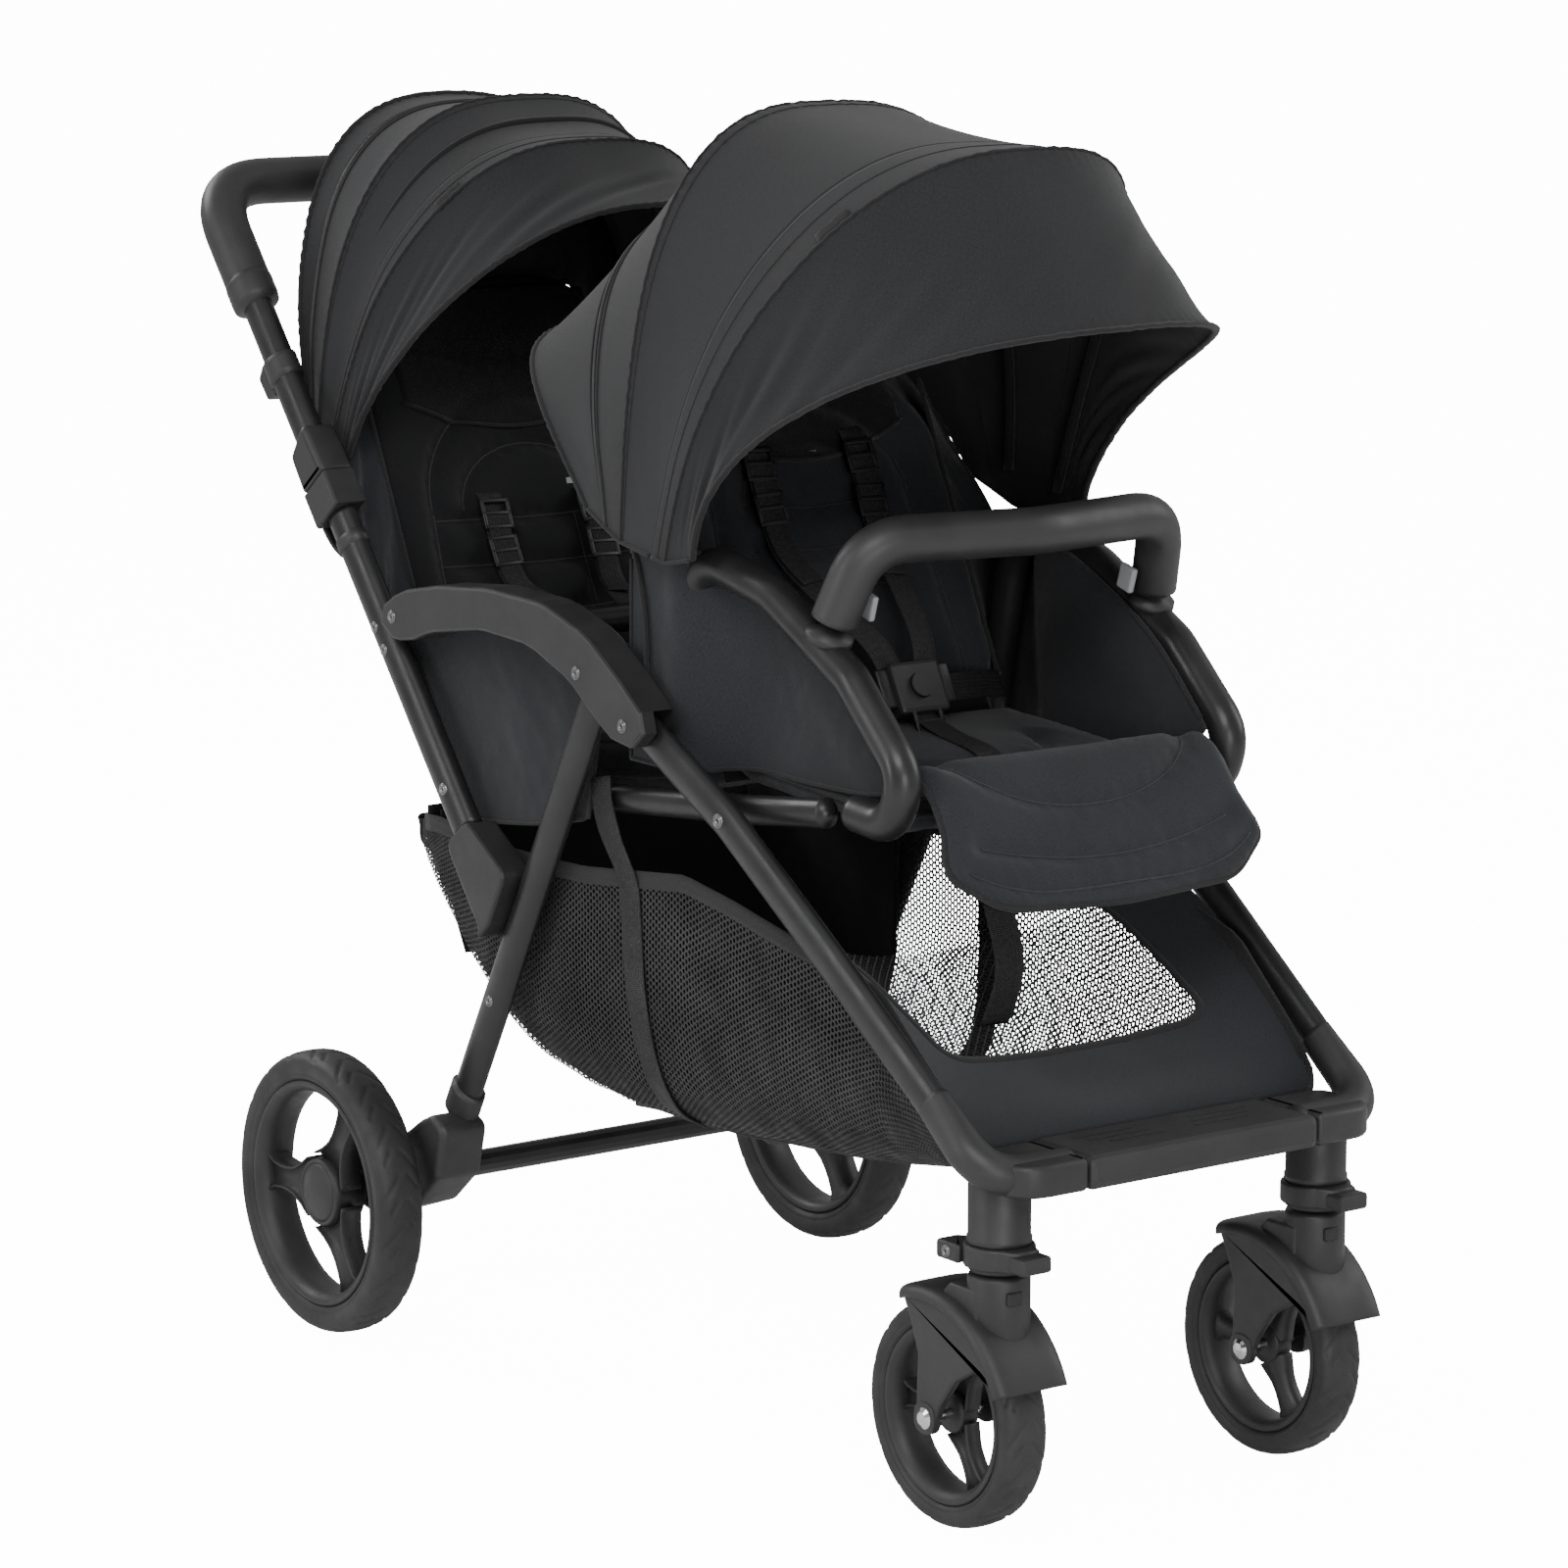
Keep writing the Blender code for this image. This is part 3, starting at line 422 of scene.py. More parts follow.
def lathe_mesh(profile, centre, steps, sign=1, shape=None):
    """A profile of (radius, x) turned about a line across the frame; x grows outward on that side."""
    profile = np.asarray(profile, float)
    turn = np.linspace(0, 2 * math.pi, steps, endpoint=False)
    radius = np.repeat(profile[:, 0][:, None], steps, axis=1)
    if shape is not None:
        radius = shape(radius, turn)
    verts = np.stack(
        [
            np.repeat(profile[:, 1][:, None] * sign, steps, axis=1),
            radius * np.cos(turn)[None],
            radius * np.sin(turn)[None],
        ],
        axis=-1,
    )
    verts = verts.reshape(-1, 3) + np.asarray(centre, float)
    run = lengths(np.column_stack([profile, np.zeros(len(profile))]))
    uvs = np.stack(np.meshgrid(turn * profile[:, 0].max(), run), axis=-1).reshape(-1, 2)
    faces = grid_faces(len(profile), steps, 0, sign > 0, True)
    return verts, faces, uvs


def cleaned(mesh, distance=0.00001):
    working = bmesh.new()
    working.from_mesh(mesh)
    bmesh.ops.remove_doubles(working, verts=working.verts, dist=distance)
    bmesh.ops.recalc_face_normals(working, faces=working.faces)
    working.to_mesh(mesh)
    working.free()
    return mesh


def soft_box(size, bevel, segments=3):
    working = bmesh.new()
    bmesh.ops.create_cube(working, size=1.0)
    bmesh.ops.scale(working, vec=size, verts=working.verts)
    bmesh.ops.bevel(
        working, geom=working.edges[:], offset=bevel, segments=segments, affect="EDGES", profile=0.5
    )
    mesh = bpy.data.meshes.new("box")
    working.to_mesh(mesh)
    working.free()
    mesh.uv_layers.new(name="UVMap")
    return mesh


def axes(centre, first, second):
    """A matrix that puts local X along first and local Z as near second as it can be."""
    x = unit(first)
    z = unit(np.asarray(second, float) - x * np.dot(second, x))
    y = np.cross(z, x)
    made = Matrix.Identity(4)
    for row in range(3):
        made[row][0], made[row][1], made[row][2], made[row][3] = x[row], y[row], z[row], centre[row]
    return made


def merged(name, meshes, material, body=None, replaces=()):
    """Several meshes as one piece."""
    working = bmesh.new()
    for mesh in meshes:
        working.from_mesh(mesh)
        bpy.data.meshes.remove(mesh)
    mesh = bpy.data.meshes.new(name)
    working.to_mesh(mesh)
    working.free()
    return put(name, mesh, material, body, replaces)


def noise_grid(u, v, fu, fv, seed=0.0):
    """Smooth noise over a grid of cloth coordinates."""
    flat = [
        noise.noise(Vector((a * fu + seed, b * fv - seed, seed * 0.37))) for a,
        b in zip(u.ravel(), v.ravel())
    ]
    return np.array(flat).reshape(u.shape)


# Stage, light and camera


FLOOR_GLOW_SEEN, FLOOR_GLOW_CAST = 14.0, 0.05
WORLD_STRENGTH = 0.50
CAMERA_PLACE = (-2.7095, -3.7333, 1.3492)
CAMERA_TURN = (math.radians(79.728), 0.0, math.radians(-36.184))
CAMERA_LENS = 122.83


def stage():
    """A pale floor, a plain world, five soft lights and the camera."""
    scene = bpy.context.scene
    white, tree, shader = new_material("pale_floor")
    place = node(tree, "ShaderNodeTexCoord").outputs["Object"]
    colour = mixed(
        tree, span(tree, noise_of(tree, place, 1.5, 2.0), 0.0, 1.0), (0.86, 0.86, 0.86), (0.88, 0.88, 0.88)
    )
    tree.links.new(colour, shader.inputs["Base Color"])
    shader.inputs["Roughness"].default_value = 0.9
    shader.inputs["Specular IOR Level"].default_value = 0.1
    seen = node(tree, "ShaderNodeLightPath").outputs["Is Camera Ray"]
    shader.inputs["Emission Color"].default_value = (1, 1, 1, 1)
    tree.links.new(
        calc(tree, "MULTIPLY_ADD", seen, FLOOR_GLOW_SEEN, FLOOR_GLOW_CAST),
        shader.inputs["Emission Strength"]
    )
    half = 60.0
    verts = [(-half, -half, 0), (half, -half, 0), (half, half, 0), (-half, half, 0)]
    floor = put("floor", build("floor", verts, [(0, 1, 2, 3)], smooth=False), white)
    floor.location.z = -0.0006
    world = bpy.data.worlds.new("studio")
    world.use_nodes = True
    world.node_tree.nodes["Background"].inputs["Color"].default_value = (1.0, 1.0, 1.0, 1.0)
    world.node_tree.nodes["Background"].inputs["Strength"].default_value = WORLD_STRENGTH
    scene.world = world
    for name, place, size, power, aim in (
        ("key", (-2.2, -2.4, 3.0), (2.2, 1.6), 70, (0, 0, 0.6)),
        ("side", (3.2, -1.6, 2.2), (1.6, 2.4), 38, (0, 0, 0.6)),
        ("back", (-1.0, 3.2, 2.6), (2.6, 1.2), 55, (0, 0, 0.7)),
        ("left", (-3.6, 0.6, 1.6), (0.7, 2.4), 36, (0, 0, 0.5)),
        ("front", (-1.3, -3.8, 0.9), (1.4, 0.9), 34, (0, -0.2, 0.62)),
    ):
        lamp = bpy.data.lights.new(name, "AREA")
        lamp.shape = "RECTANGLE"
        lamp.size, lamp.size_y = size
        lamp.energy = power
        holder = bpy.data.objects.new(name, lamp)
        holder.location = place
        holder.rotation_euler = (Vector(aim) - Vector(place)).to_track_quat("-Z", "Y").to_euler()
        scene.collection.objects.link(holder)
    camera = bpy.data.cameras.new("camera")
    camera.sensor_width = 36.0
    camera.lens = CAMERA_LENS
    camera.clip_end = 200.0
    holder = bpy.data.objects.new("camera", camera)
    holder.location = CAMERA_PLACE
    holder.rotation_euler = CAMERA_TURN
    scene.collection.objects.link(holder)
    scene.camera = holder


def carried_over():
    """The CAD pieces that stay in view, each in its own finish."""
    finishes = {
        PAINT: ["rear_crossbar"],
        PLASTIC: [
            "footplate", "brake_pedal", "front_buckle", "rear_buckle", "front_buckle_button",
            "rear_buckle_button"
        ],
        GREY: [],
        CHROME: [],
    }
    for side in SIDES:
        for name in ("frame_latch", "handle_housing", "armrest", "swivel_lock"):
            finishes[PLASTIC].append(f"{name}_{side}")
        finishes[GREY].append(f"bumper_release_{side}")
        finishes[CHROME].append(f"caster_bolt_{side}")
    for finish, names in finishes.items():
        for name in names:
            NODES[name].data.materials.clear()
            NODES[name].data.materials.append(finish)


# Wheels


def segment_distance(p, q, a, b):
    """How far each (p, q) is from the segment a-b in the plane."""
    d = np.array(b) - np.array(a)
    t = np.clip(((p - a[0]) * d[0] + (q - a[1]) * d[1]) / (d @ d), 0, 1)
    return np.hypot(p - a[0] - t * d[0], q - a[1] - t * d[1])


def tyre(name, centre, radius, half, wall, side, body):
    """A rubber tyre with sidewall steps and rows of slanting sipes round its crown."""
    sign = SIDES[side]
    seat = radius - wall
    inner = [(seat + 0.0006, -half * 0.80), (seat + 0.0006, half * 0.80)]
    sidewall = [
        (seat + wall * 0.10, half * 0.86),
        (seat + wall * 0.16, half * 0.93),
        (seat + wall * 0.22, half * 0.955),
        (seat + wall * 0.26, half * 0.925),
        (seat + wall * 0.31, half * 0.965),
        (seat + wall * 0.46, half * 0.995),
    ]
    crown = []
    for turn in np.linspace(math.radians(3), math.radians(90), 17):
        across = half * math.cos(turn) ** 0.80
        crown.append((seat + wall * 0.50 + wall * 0.50 * math.sin(turn) ** 0.72, across))
    outer = sidewall + crown
    profile = inner + outer + [(r, -x) for r, x in outer[-2::-1]]
    profile = np.array(profile + [profile[0]])
    steps = 360
    verts, faces, uvs = lathe_mesh(profile, centre, steps, sign)
    rows = len(profile)
    verts = verts.reshape(rows, steps, 3)
    turn = np.linspace(0, 2 * math.pi, steps, endpoint=False)[None, :]
    across = profile[:, 1][:, None]
    depth = np.zeros((rows, steps))
    count = 18 if radius > 0.11 else 15
    pitch = 2 * math.pi / count
    for face in (-1, 1):
        local = (turn + (0.5 * pitch if face < 0 else 0.0) + 1e-9) % pitch
        long = segment_distance(
            local * radius, across * face + 0 * turn, (0.10 * pitch * radius, half * 0.12),
            (0.58 * pitch * radius, half * 0.84)
        )
        hook = segment_distance(
            local * radius, across * face + 0 * turn, (0.58 * pitch * radius, half * 0.84),
            (0.72 * pitch * radius, half * 0.90)
        )
        short = segment_distance(
            local * radius, across * face + 0 * turn, (0.60 * pitch * radius, half * 0.28),
            (0.86 * pitch * radius, half * 0.62)
        )
        for distance in (np.minimum(long, hook), short):
            depth = np.maximum(depth, np.exp(-((distance / 0.0013) ** 2)))
    outward = verts - np.asarray(centre)
    outward[..., 0] = 0
    crown_only = (profile[:, 0] > seat + wall * 0.52)[:, None]
    verts = verts - unit(outward) * (0.0014 * depth * crown_only)[..., None]
    mesh = cleaned(build(name, verts.reshape(-1, 3), faces, uvs))
    return put(
        name, mesh, RUBBER, body, [f"{name}_{side}"] if f"{name}_{side}" in NODES else []
    )


def spoke_mesh(centre, angle, hub, rim, face, depth, sign, widths, rib=0.0026, recess=0.0062):
    """One forked spoke: two ribs that flare into the hub and the rim, with a sunken web between them."""
    count = 18
    run = np.linspace(0, 1, count)
    radius = hub + (rim - hub) * run
    half = np.interp(run, np.linspace(0, 1, len(widths)), widths)
    rows = []
    for r, w in zip(radius, half):
        section = [
            (-w, -depth), (-w, -0.0010), (-w + 0.0008, 0), (-w + rib - 0.0005, 0), (-w + rib, -0.0010),
            (-w + rib + 0.0004, -recess)
        ]
        section += [(-x, y) for x, y in section[::-1]]
        rows.append([(r, x, y) for x, y in section])
    rows = np.array(rows)
    turn = math.radians(angle)
    radial = np.array((0, math.cos(turn), math.sin(turn)))
    across = np.array((0, -math.sin(turn), math.cos(turn)))
    out = X * sign
    verts = np.asarray(centre) + rows[..., :1] * radial + rows[..., 1:2] * across + (
        rows[..., 2:3] + face
    ) * out
    sides = rows.shape[1]
    faces = grid_faces(count, sides, 0, False, True)
    faces += [tuple(range(sides)), tuple(range((count - 1) * sides, count * sides))[::-1]]
    uvs = np.concatenate([rows[..., 0:1], rows[..., 1:2]], axis=-1).reshape(-1, 2)
    return cleaned(build("spoke", verts.reshape(-1, 3), faces, uvs))


def rim(name, centre, radius, half, wall, hub, side, body, spokes, angle, front):
    """Barrel, flanges, three forked spokes and a hub."""
    sign = SIDES[side]
    seat = radius - wall
    barrel = [
        (seat + 0.0004, -half * 0.78),
        (seat + 0.0004, half * 0.78),
        (seat + 0.0016, half * 0.84),
        (seat - 0.0006, half * 0.90),
        (seat - 0.0034, half * 0.88),
        (seat - 0.0050, half * 0.80),
        (seat - 0.0080, half * 0.70),
        (seat - 0.0098, half * 0.30),
        (seat - 0.0104, 0.0),
        (seat - 0.0098, -half * 0.40),
        (seat - 0.0072, -half * 0.74),
        (seat - 0.0034, -half * 0.88),
        (seat - 0.0006, -half * 0.88),
    ]
    face = half * 0.52 if not front else half * 0.40
    parts = [cleaned(build("barrel", *lathe_mesh(barrel + [barrel[0]], centre, 128, sign)))]
    inner = seat - 0.0092
    if front:
        cap = [
            (0.0, face + 0.001), (hub * 0.7, face + 0.001), (hub * 0.95, face), (hub, face - 0.002),
            (hub, -face + 0.002), (hub * 0.95, -face), (0, -face)
        ]
        widths = (hub * 0.86, hub * 0.66, 0.0080, 0.0072, 0.0078, 0.0098, 0.0150)
        depth = face * 1.7
    else:
        cap = [
            (0.0, face + 0.0052),
            (hub * 0.35, face + 0.0050),
            (hub * 0.62, face + 0.0040),
            (hub * 0.80, face + 0.0026),
            (hub * 0.86, face + 0.0014),
            (hub * 0.875, face + 0.0002),
            (hub * 0.90, face + 0.0002),
            (hub * 0.915, face + 0.0016),
            (hub * 0.98, face + 0.0014),
            (hub * 1.02, face + 0.0002),
            (hub * 1.03, face - 0.0060),
            (hub * 1.00, -half * 0.80),
            (hub * 0.60, -half * 0.86),
            (0.0, -half * 0.86),
        ]
        widths = (hub * 0.92, hub * 0.64, 0.0135, 0.0112, 0.0112, 0.0128, 0.0205)
        depth = half * 0.95
    parts.append(cleaned(build("hub", *lathe_mesh(cap, centre, 64, sign))))
    for step in range(spokes):
        parts.append(
            spoke_mesh(
                centre, angle + 360 / spokes * step, hub * 0.82, inner + 0.003, face - 0.001, depth, sign,
                widths
            )
        )
    return merged(
        name,
        parts,
        PLASTIC,
        body,
        [f"{name}_{side}"] if f"{name}_{side}" in NODES else []
    )


def wheels():
    for side, sign in SIDES.items():
        rear = at(sign * 0.2754, 0.0, 0.1284)
        made = tyre("rear_tyre", rear, 0.1284, 0.0224, 0.027, side, f"rear_wheel_{side}")
        made.name = f"rear_tyre_{side}_look"
        made = rim("rear_rim", rear, 0.1284, 0.0224, 0.027, 0.0300, side, f"rear_wheel_{side}", 3, 0, False)
        made.name = f"rear_rim_{side}_look"
        front = at(sign * 0.166, -0.7783, 0.0935)
        made = tyre("front_tyre", front, 0.0935, 0.0208, 0.021, side, f"front_wheel_{side}")
        made.name = f"front_tyre_{side}_look"
        made = rim(
            "front_rim", front, 0.0935, 0.0208, 0.021, 0.0170, side, f"front_wheel_{side}", 3, 0, True
        )
        made.name = f"front_rim_{side}_look"


# Canopies


class Canopy:
    """One canopy's surface: rows run from side to side, and share goes from its back hem to its rim."""

    def __init__(self, name, hub, half, stops, hem, controls, tops):
        self.name, self.hub, self.half = name, hub, half
        self.stops, self.hem = stops, np.array(hem)
        self.controls, self.tops = np.array(controls), np.array(tops)

    def pick(self, table, share):
        share = np.asarray(share, float)
        return np.stack([np.interp(share, self.stops, table[:, k]) for k in range(2)], axis=-1)

    def place(self, turn, share, inset=0.0):
        """Points at turn (0 left hem, 1 right hem) and share (0 back, 1 rim)."""
        turn, share = np.broadcast_arrays(np.asarray(turn, float), np.asarray(share, float))
        angle = math.pi * turn
        rise = np.clip(np.sin(angle), 0, 1) ** (2 / 2.7)
        across = -np.sign(np.cos(angle)) * np.abs(np.cos(angle)) ** (2 / 2.7)
        a, c, b = self.pick(self.hem, share), self.pick(self.controls, share), self.pick(self.tops, share)
        s = rise[..., None]
        side = a * (1 - s) ** 2 + 2 * c * s * (1 - s) + b * s**2
        half = self.half + 0.004 * np.sin(share * math.pi) - inset
        middle = np.array(self.hub)
        reach = unit(side - middle)
        side = side - reach * inset * s
        return np.stack([across * half, side[..., 0] + AXLE_BEHIND_MIDDLE, side[..., 1]], axis=-1)

    def grid(self, start, end, rows, columns, shape=None, low=0.0, high=1.0):
        turn = np.linspace(low, high, columns)
        turn = 0.5 - 0.5 * np.cos(math.pi * turn) * (
            0.35 + 0.65 * np.abs(np.cos(math.pi * turn)) ** 0.6
        ) if low == 0 and high == 1 else turn
        share = np.linspace(start, end, rows)
        turn, share = np.meshgrid(turn, share)
        points = self.place(turn, share)
        if shape is not None:
            out = -normals_of(points)
            middle = np.array((0, self.hub[0] + AXLE_BEHIND_MIDDLE, self.hub[1]))
            flip = np.sign(np.sum(out * (points - middle), axis=-1, keepdims=True))
            out = out * np.where(flip == 0, 1, flip)
            points = points + out * shape(turn, share, points)[..., None]
        return points


def canopy_shape(seams, amount, seed, rim_pucker=0.0):
    """Cloth pulled over its bows: hollows between them, puckers at the seams, folds near the rim."""
    seams = np.array(seams)

    def shape(turn, share, points):
        between = np.searchsorted(seams, share, side="right") - 1
        between = np.clip(between, 0, len(seams) - 2)
        t = (share - seams[between]) / (seams[between + 1] - seams[between])
        top = np.clip(np.sin(math.pi * turn), 0, 1) ** 0.6
        sag = -amount * np.sin(math.pi * np.clip(t, 0, 1)) ** 0.8 * top
        run = lengths(points[len(points) // 2])[None, :] + 0 * share
        reach = np.abs(share[:, None, :] - seams[None, :, None]).min(axis=1)
        cross = share * 0.55
        ripple = 0.0007 * np.sin(
            run * 2 * math.pi / 0.011 + 3 * noise_grid(run, cross, 14, 9, seed)
        ) * np.exp(-((reach / 0.022) ** 2))
        broad = 0.0045 * noise_grid(run, cross, 3.2, 5.0, seed + 5) + 0.0022 * noise_grid(
            run + cross, cross - run, 9.0, 6.0, seed + 9
        )
        folds = 0.0
        if rim_pucker:
            slant = run + cross * 1.6
            near = np.clip((share - seams[-2]) / (seams[-1] - seams[-2]), 0, 1)
            window = np.exp(-(((near - 0.62) / 0.30) ** 2)) * (0.45 + 0.55 * np.abs(np.cos(math.pi * turn)))
            folds = rim_pucker * noise_grid(slant, cross, 26.0, 9.0, seed + 21) * window
        edge = np.clip(np.minimum(turn, 1 - turn) / 0.04, 0, 1)
        return sag + (ripple + broad * 0.6 + folds) * edge

    return shape


def canopy(kind, hub, half, angles, radii, hem, controls, seams, zip_at, seed):
    stops = seams
    tops = [polar(hub, radius, angle) for radius, angle in zip(radii, angles)]
    made = Canopy(kind, hub, half, stops, hem, controls, tops)
    middle_body, visor_body = f"{kind}_canopy_middle", f"{kind}_canopy_visor"
    shape = canopy_shape(seams, 0.0075, seed, 0.006)
    meet = seams[1] + (seams[2] - seams[1]) * 0.72
    columns = 190
    rear = made.grid(0.0, meet, 96, columns, shape)
    front = made.grid(meet, 1.0, 84, columns, shape)
    front[0] = rear[-1]
    rear_sheet = put(
        f"{kind}_canopy_cloth_rear",
        sheet_mesh(f"{kind}_canopy_cloth_rear", rear[:, ::-1]),
        CANOPY,
        None,
    )
    front_sheet = put(
        f"{kind}_canopy_cloth_front",
        sheet_mesh(f"{kind}_canopy_cloth_front", front[:, ::-1]),
        CANOPY,
        None,
    )
    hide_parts(f"{kind}_canopy_rear", f"{kind}_canopy_middle")
    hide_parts(f"{kind}_canopy_visor")
    swing = lambda low, high: tuple(
        tuple(float(c) for c in at(0, *polar(hub, radii[1] * 0.9, angle))) for angle in (low, high)
    )
    # The two sheets meet on the middle body.
    rear_span = swing(angles[0] + 6, angles[1] - 2)
    front_span = swing(angles[2] + 2, angles[3] - 3)
    extras = {"rear": [], "front": []}

    def line(share, lift, count=150):
        grid, part = (rear, share / meet) if share <= meet else (front, (share - meet) / (1 - meet))
        row = part * (len(grid) - 1)
        low = min(int(row), len(grid) - 2)
        out = normals_of(grid)
        middle = np.array((0, hub[0] + AXLE_BEHIND_MIDDLE, hub[1]))
        points = grid[low] + (grid[low + 1] - grid[low]) * (row - low)
        out = out[low] * np.where(np.sum(out[low] * (points - middle), axis=1, keepdims=True) < 0, -1, 1)
        return resample(points + out * lift, count=count)

    for share, radius, lift, which in (
        (seams[1], 0.0013, 0.0006, "rear"),
        (seams[1] + 0.016, 0.0006, 0.0003, "rear"),
        (seams[2], 0.0015, 0.0008, "front"),
        (seams[2] - 0.055, 0.0006, 0.0002, "front"),
        (zip_at, 0.0012, 0.0006, "rear"),
        (zip_at + 0.030, 0.0012, 0.0006, "rear"),
    ):
        mesh = tube_mesh(f"{kind}_canopy_seam", line(share, lift), radius, 8)
        piece = put(f"{kind}_canopy_seam_{int(share * 1000)}", mesh, BINDING, None)
        extras[which].append(piece)
    zip_line = line(zip_at + 0.015, 0.0005, 220)
    teeth = tube_mesh("zip", zip_line, 0.0021, 8, flat=0.5)
    piece = put(f"{kind}_canopy_zip", teeth, DEEP_PLASTIC, None)
    extras["rear"].append(piece)
    edge_line = line(seams[2] - 0.012, 0.0016, 300)
    mark = edge_line[92:103]
    slant = unit(np.gradient(mark, axis=0))
    tag = band_mesh(
        "tag",
        mark,
        np.cross(slant[5], unit(mark[5] - np.array((0, hub[0] + AXLE_BEHIND_MIDDLE, hub[1])))),
        0.013,
        0.0012
    )
    extras["front"].append(put(f"{kind}_canopy_tag", tag, TAG, None))
    rim_line = line(1.0, 0.0)
    piece = put(
        f"{kind}_canopy_rim_binding",
        tube_mesh("rim", rim_line, 0.0034, 10, flat=0.7),
        BINDING,
        None,
    )
    extras["front"].append(piece)
    back_line = line(0.0, 0.0)
    piece = put(
        f"{kind}_canopy_back_binding",
        tube_mesh("hem", back_line, 0.0030, 10, flat=0.7),
        BINDING,
        None,
    )
    extras["rear"].append(piece)
    for sign, where in ((-1, 0), (1, -1)):
        for which, points in (("rear", rear[:, where]), ("front", front[:, where])):
            mesh = tube_mesh("hem", resample(points[::3], step=0.004), 0.0026, 8, flat=0.7)
            piece = put(
                f"{kind}_canopy_side_hem_{which}_{'left' if sign < 0 else 'right'}",
                mesh,
                BINDING,
                None,
            )
            extras[which].append(piece)
    for which, sheet_, bodies, ends in (
        ("rear", rear_sheet, ("seat_frame", middle_body), rear_span),
        ("front", front_sheet, (middle_body, visor_body), front_span),
    ):
        for piece in (sheet_, *extras[which]):
            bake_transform(piece)
    declare(
        rear_sheet,
        rear,
        [middle_body_bow(made, kind, seams[1] + (0.12 if kind == "rear" else 0.0), middle_body, 1)],
    )
    declare(
        front_sheet,
        front,
        [middle_body_bow(made, kind, seams[2], middle_body, 2)],
    )
    return made, rear


def middle_body_bow(made, kind, share, body, number):
    """The wire bow that the cloth is stretched over, in its sleeve."""
    points = made.place(np.linspace(0.012, 0.988, 90), share, 0.0085)
    bow = put(
        f"{kind}_canopy_bow_{number}", tube_mesh("bow", points, 0.0042, 10), LINING, body
    )
    return bow


def canopies():
    hub = (-0.475, 0.752)
    front = canopy(
        "front",
        hub,
        0.2055,
        (25, 75, 118, 148),
        (0.386, 0.375, 0.377, 0.381),
        [(-0.318, 0.775), (-0.372, 0.753), (-0.435, 0.742), (-0.470, 0.748)],
        [(-0.228, 0.880), (-0.385, 0.930), (-0.475, 0.915), (-0.480, 0.868)],
        (0.0, 0.42, 0.74, 1.0),
        0.22,
        3.0,
    )
    hub = (0.115, 0.785)
    rear = canopy(
        "rear",
        hub,
        0.1850,
        (72, 95, 118, 138),
        (0.324, 0.313, 0.315, 0.337),
        [(0.158, 0.792), (0.144, 0.778), (0.122, 0.770), (0.098, 0.778)],
        [(0.198, 0.935), (0.130, 0.950), (0.080, 0.920), (0.052, 0.868)],
        (0.0, 0.36, 0.68, 1.0),
        0.10,
        11.0,
    )
    return front, rear


# Seats


class Lay:
    """Where a pad lies: across is X, and run follows a line in the side view towards the front or foot."""

    def __init__(self, line):
        points = [(0.0, a, u) for a, u in line]
        fine = resample(points, count=240) if len(points) > 2 else np.linspace(points[0], points[1], 240)
        self.line = fine[:, 1:]
        self.run = lengths(fine)
        self.length = self.run[-1]
        tangent = unit(np.gradient(self.line, axis=0))
        self.normal = np.stack([tangent[:, 1], -tangent[:, 0]], axis=1)
        self.tangent = tangent

    def place(self, across, run, lift=0.0):
        across, run, lift = np.broadcast_arrays(
            np.asarray(across, float), np.asarray(run, float), np.asarray(lift, float)
        )
        pick = lambda table, k: np.interp(run, self.run, table[:, k])
        beyond = np.where(run < 0, run, np.maximum(run - self.length, 0))
        nearest = np.where(run < 0, 0, len(self.run) - 1)
        along = pick(self.line, 0) + pick(self.normal, 0) * lift + beyond * self.tangent[nearest, 0]
        up = pick(self.line, 1) + pick(self.normal, 1) * lift + beyond * self.tangent[nearest, 1]
        return np.stack([across, along + AXLE_BEHIND_MIDDLE, up], axis=-1)


def rounded(corners, radius, steps=7):
    """A closed outline with round corners; radius may be one for each corner."""
    corners = np.array(corners, float)
    radius = np.broadcast_to(np.asarray(radius, float), (len(corners),))
    line = []
    for i, corner in enumerate(corners):
        before, after = corners[i - 1] - corner, corners[(i + 1) % len(corners)] - corner
        b, a = unit(before), unit(after)
        half = math.acos(np.clip(np.dot(a, b), -1, 1)) / 2
        if half > math.radians(88):
            line.append(corner)
            continue
        reach = min(radius[i] / math.tan(half), 0.48 * np.linalg.norm(before), 0.48 * np.linalg.norm(after))
        start, end = corner + b * reach, corner + a * reach
        for t in np.linspace(0, 1, steps):
            line.append(start * (1 - t) ** 2 + 2 * corner * t * (1 - t) + end * t**2)
    return np.array(line)


def evenly(line, step):
    line = np.vstack([line, line[:1]])
    run = np.concatenate([[0], np.cumsum(np.linalg.norm(np.diff(line, axis=0), axis=1))])
    where = np.linspace(0, run[-1], max(8, round(run[-1] / step)), endpoint=False)
    return np.stack([np.interp(where, run, line[:, k]) for k in range(2)], axis=1)


def away_from(points, line, closed):
    ends = np.roll(line, -1, 0) if closed else line[1:]
    starts = line if closed else line[:-1]
    best = np.full(len(points), 9.0)
    for a, b in zip(starts, ends):
        best = np.minimum(best, segment_distance(points[:, 0], points[:, 1], a, b))
    return best


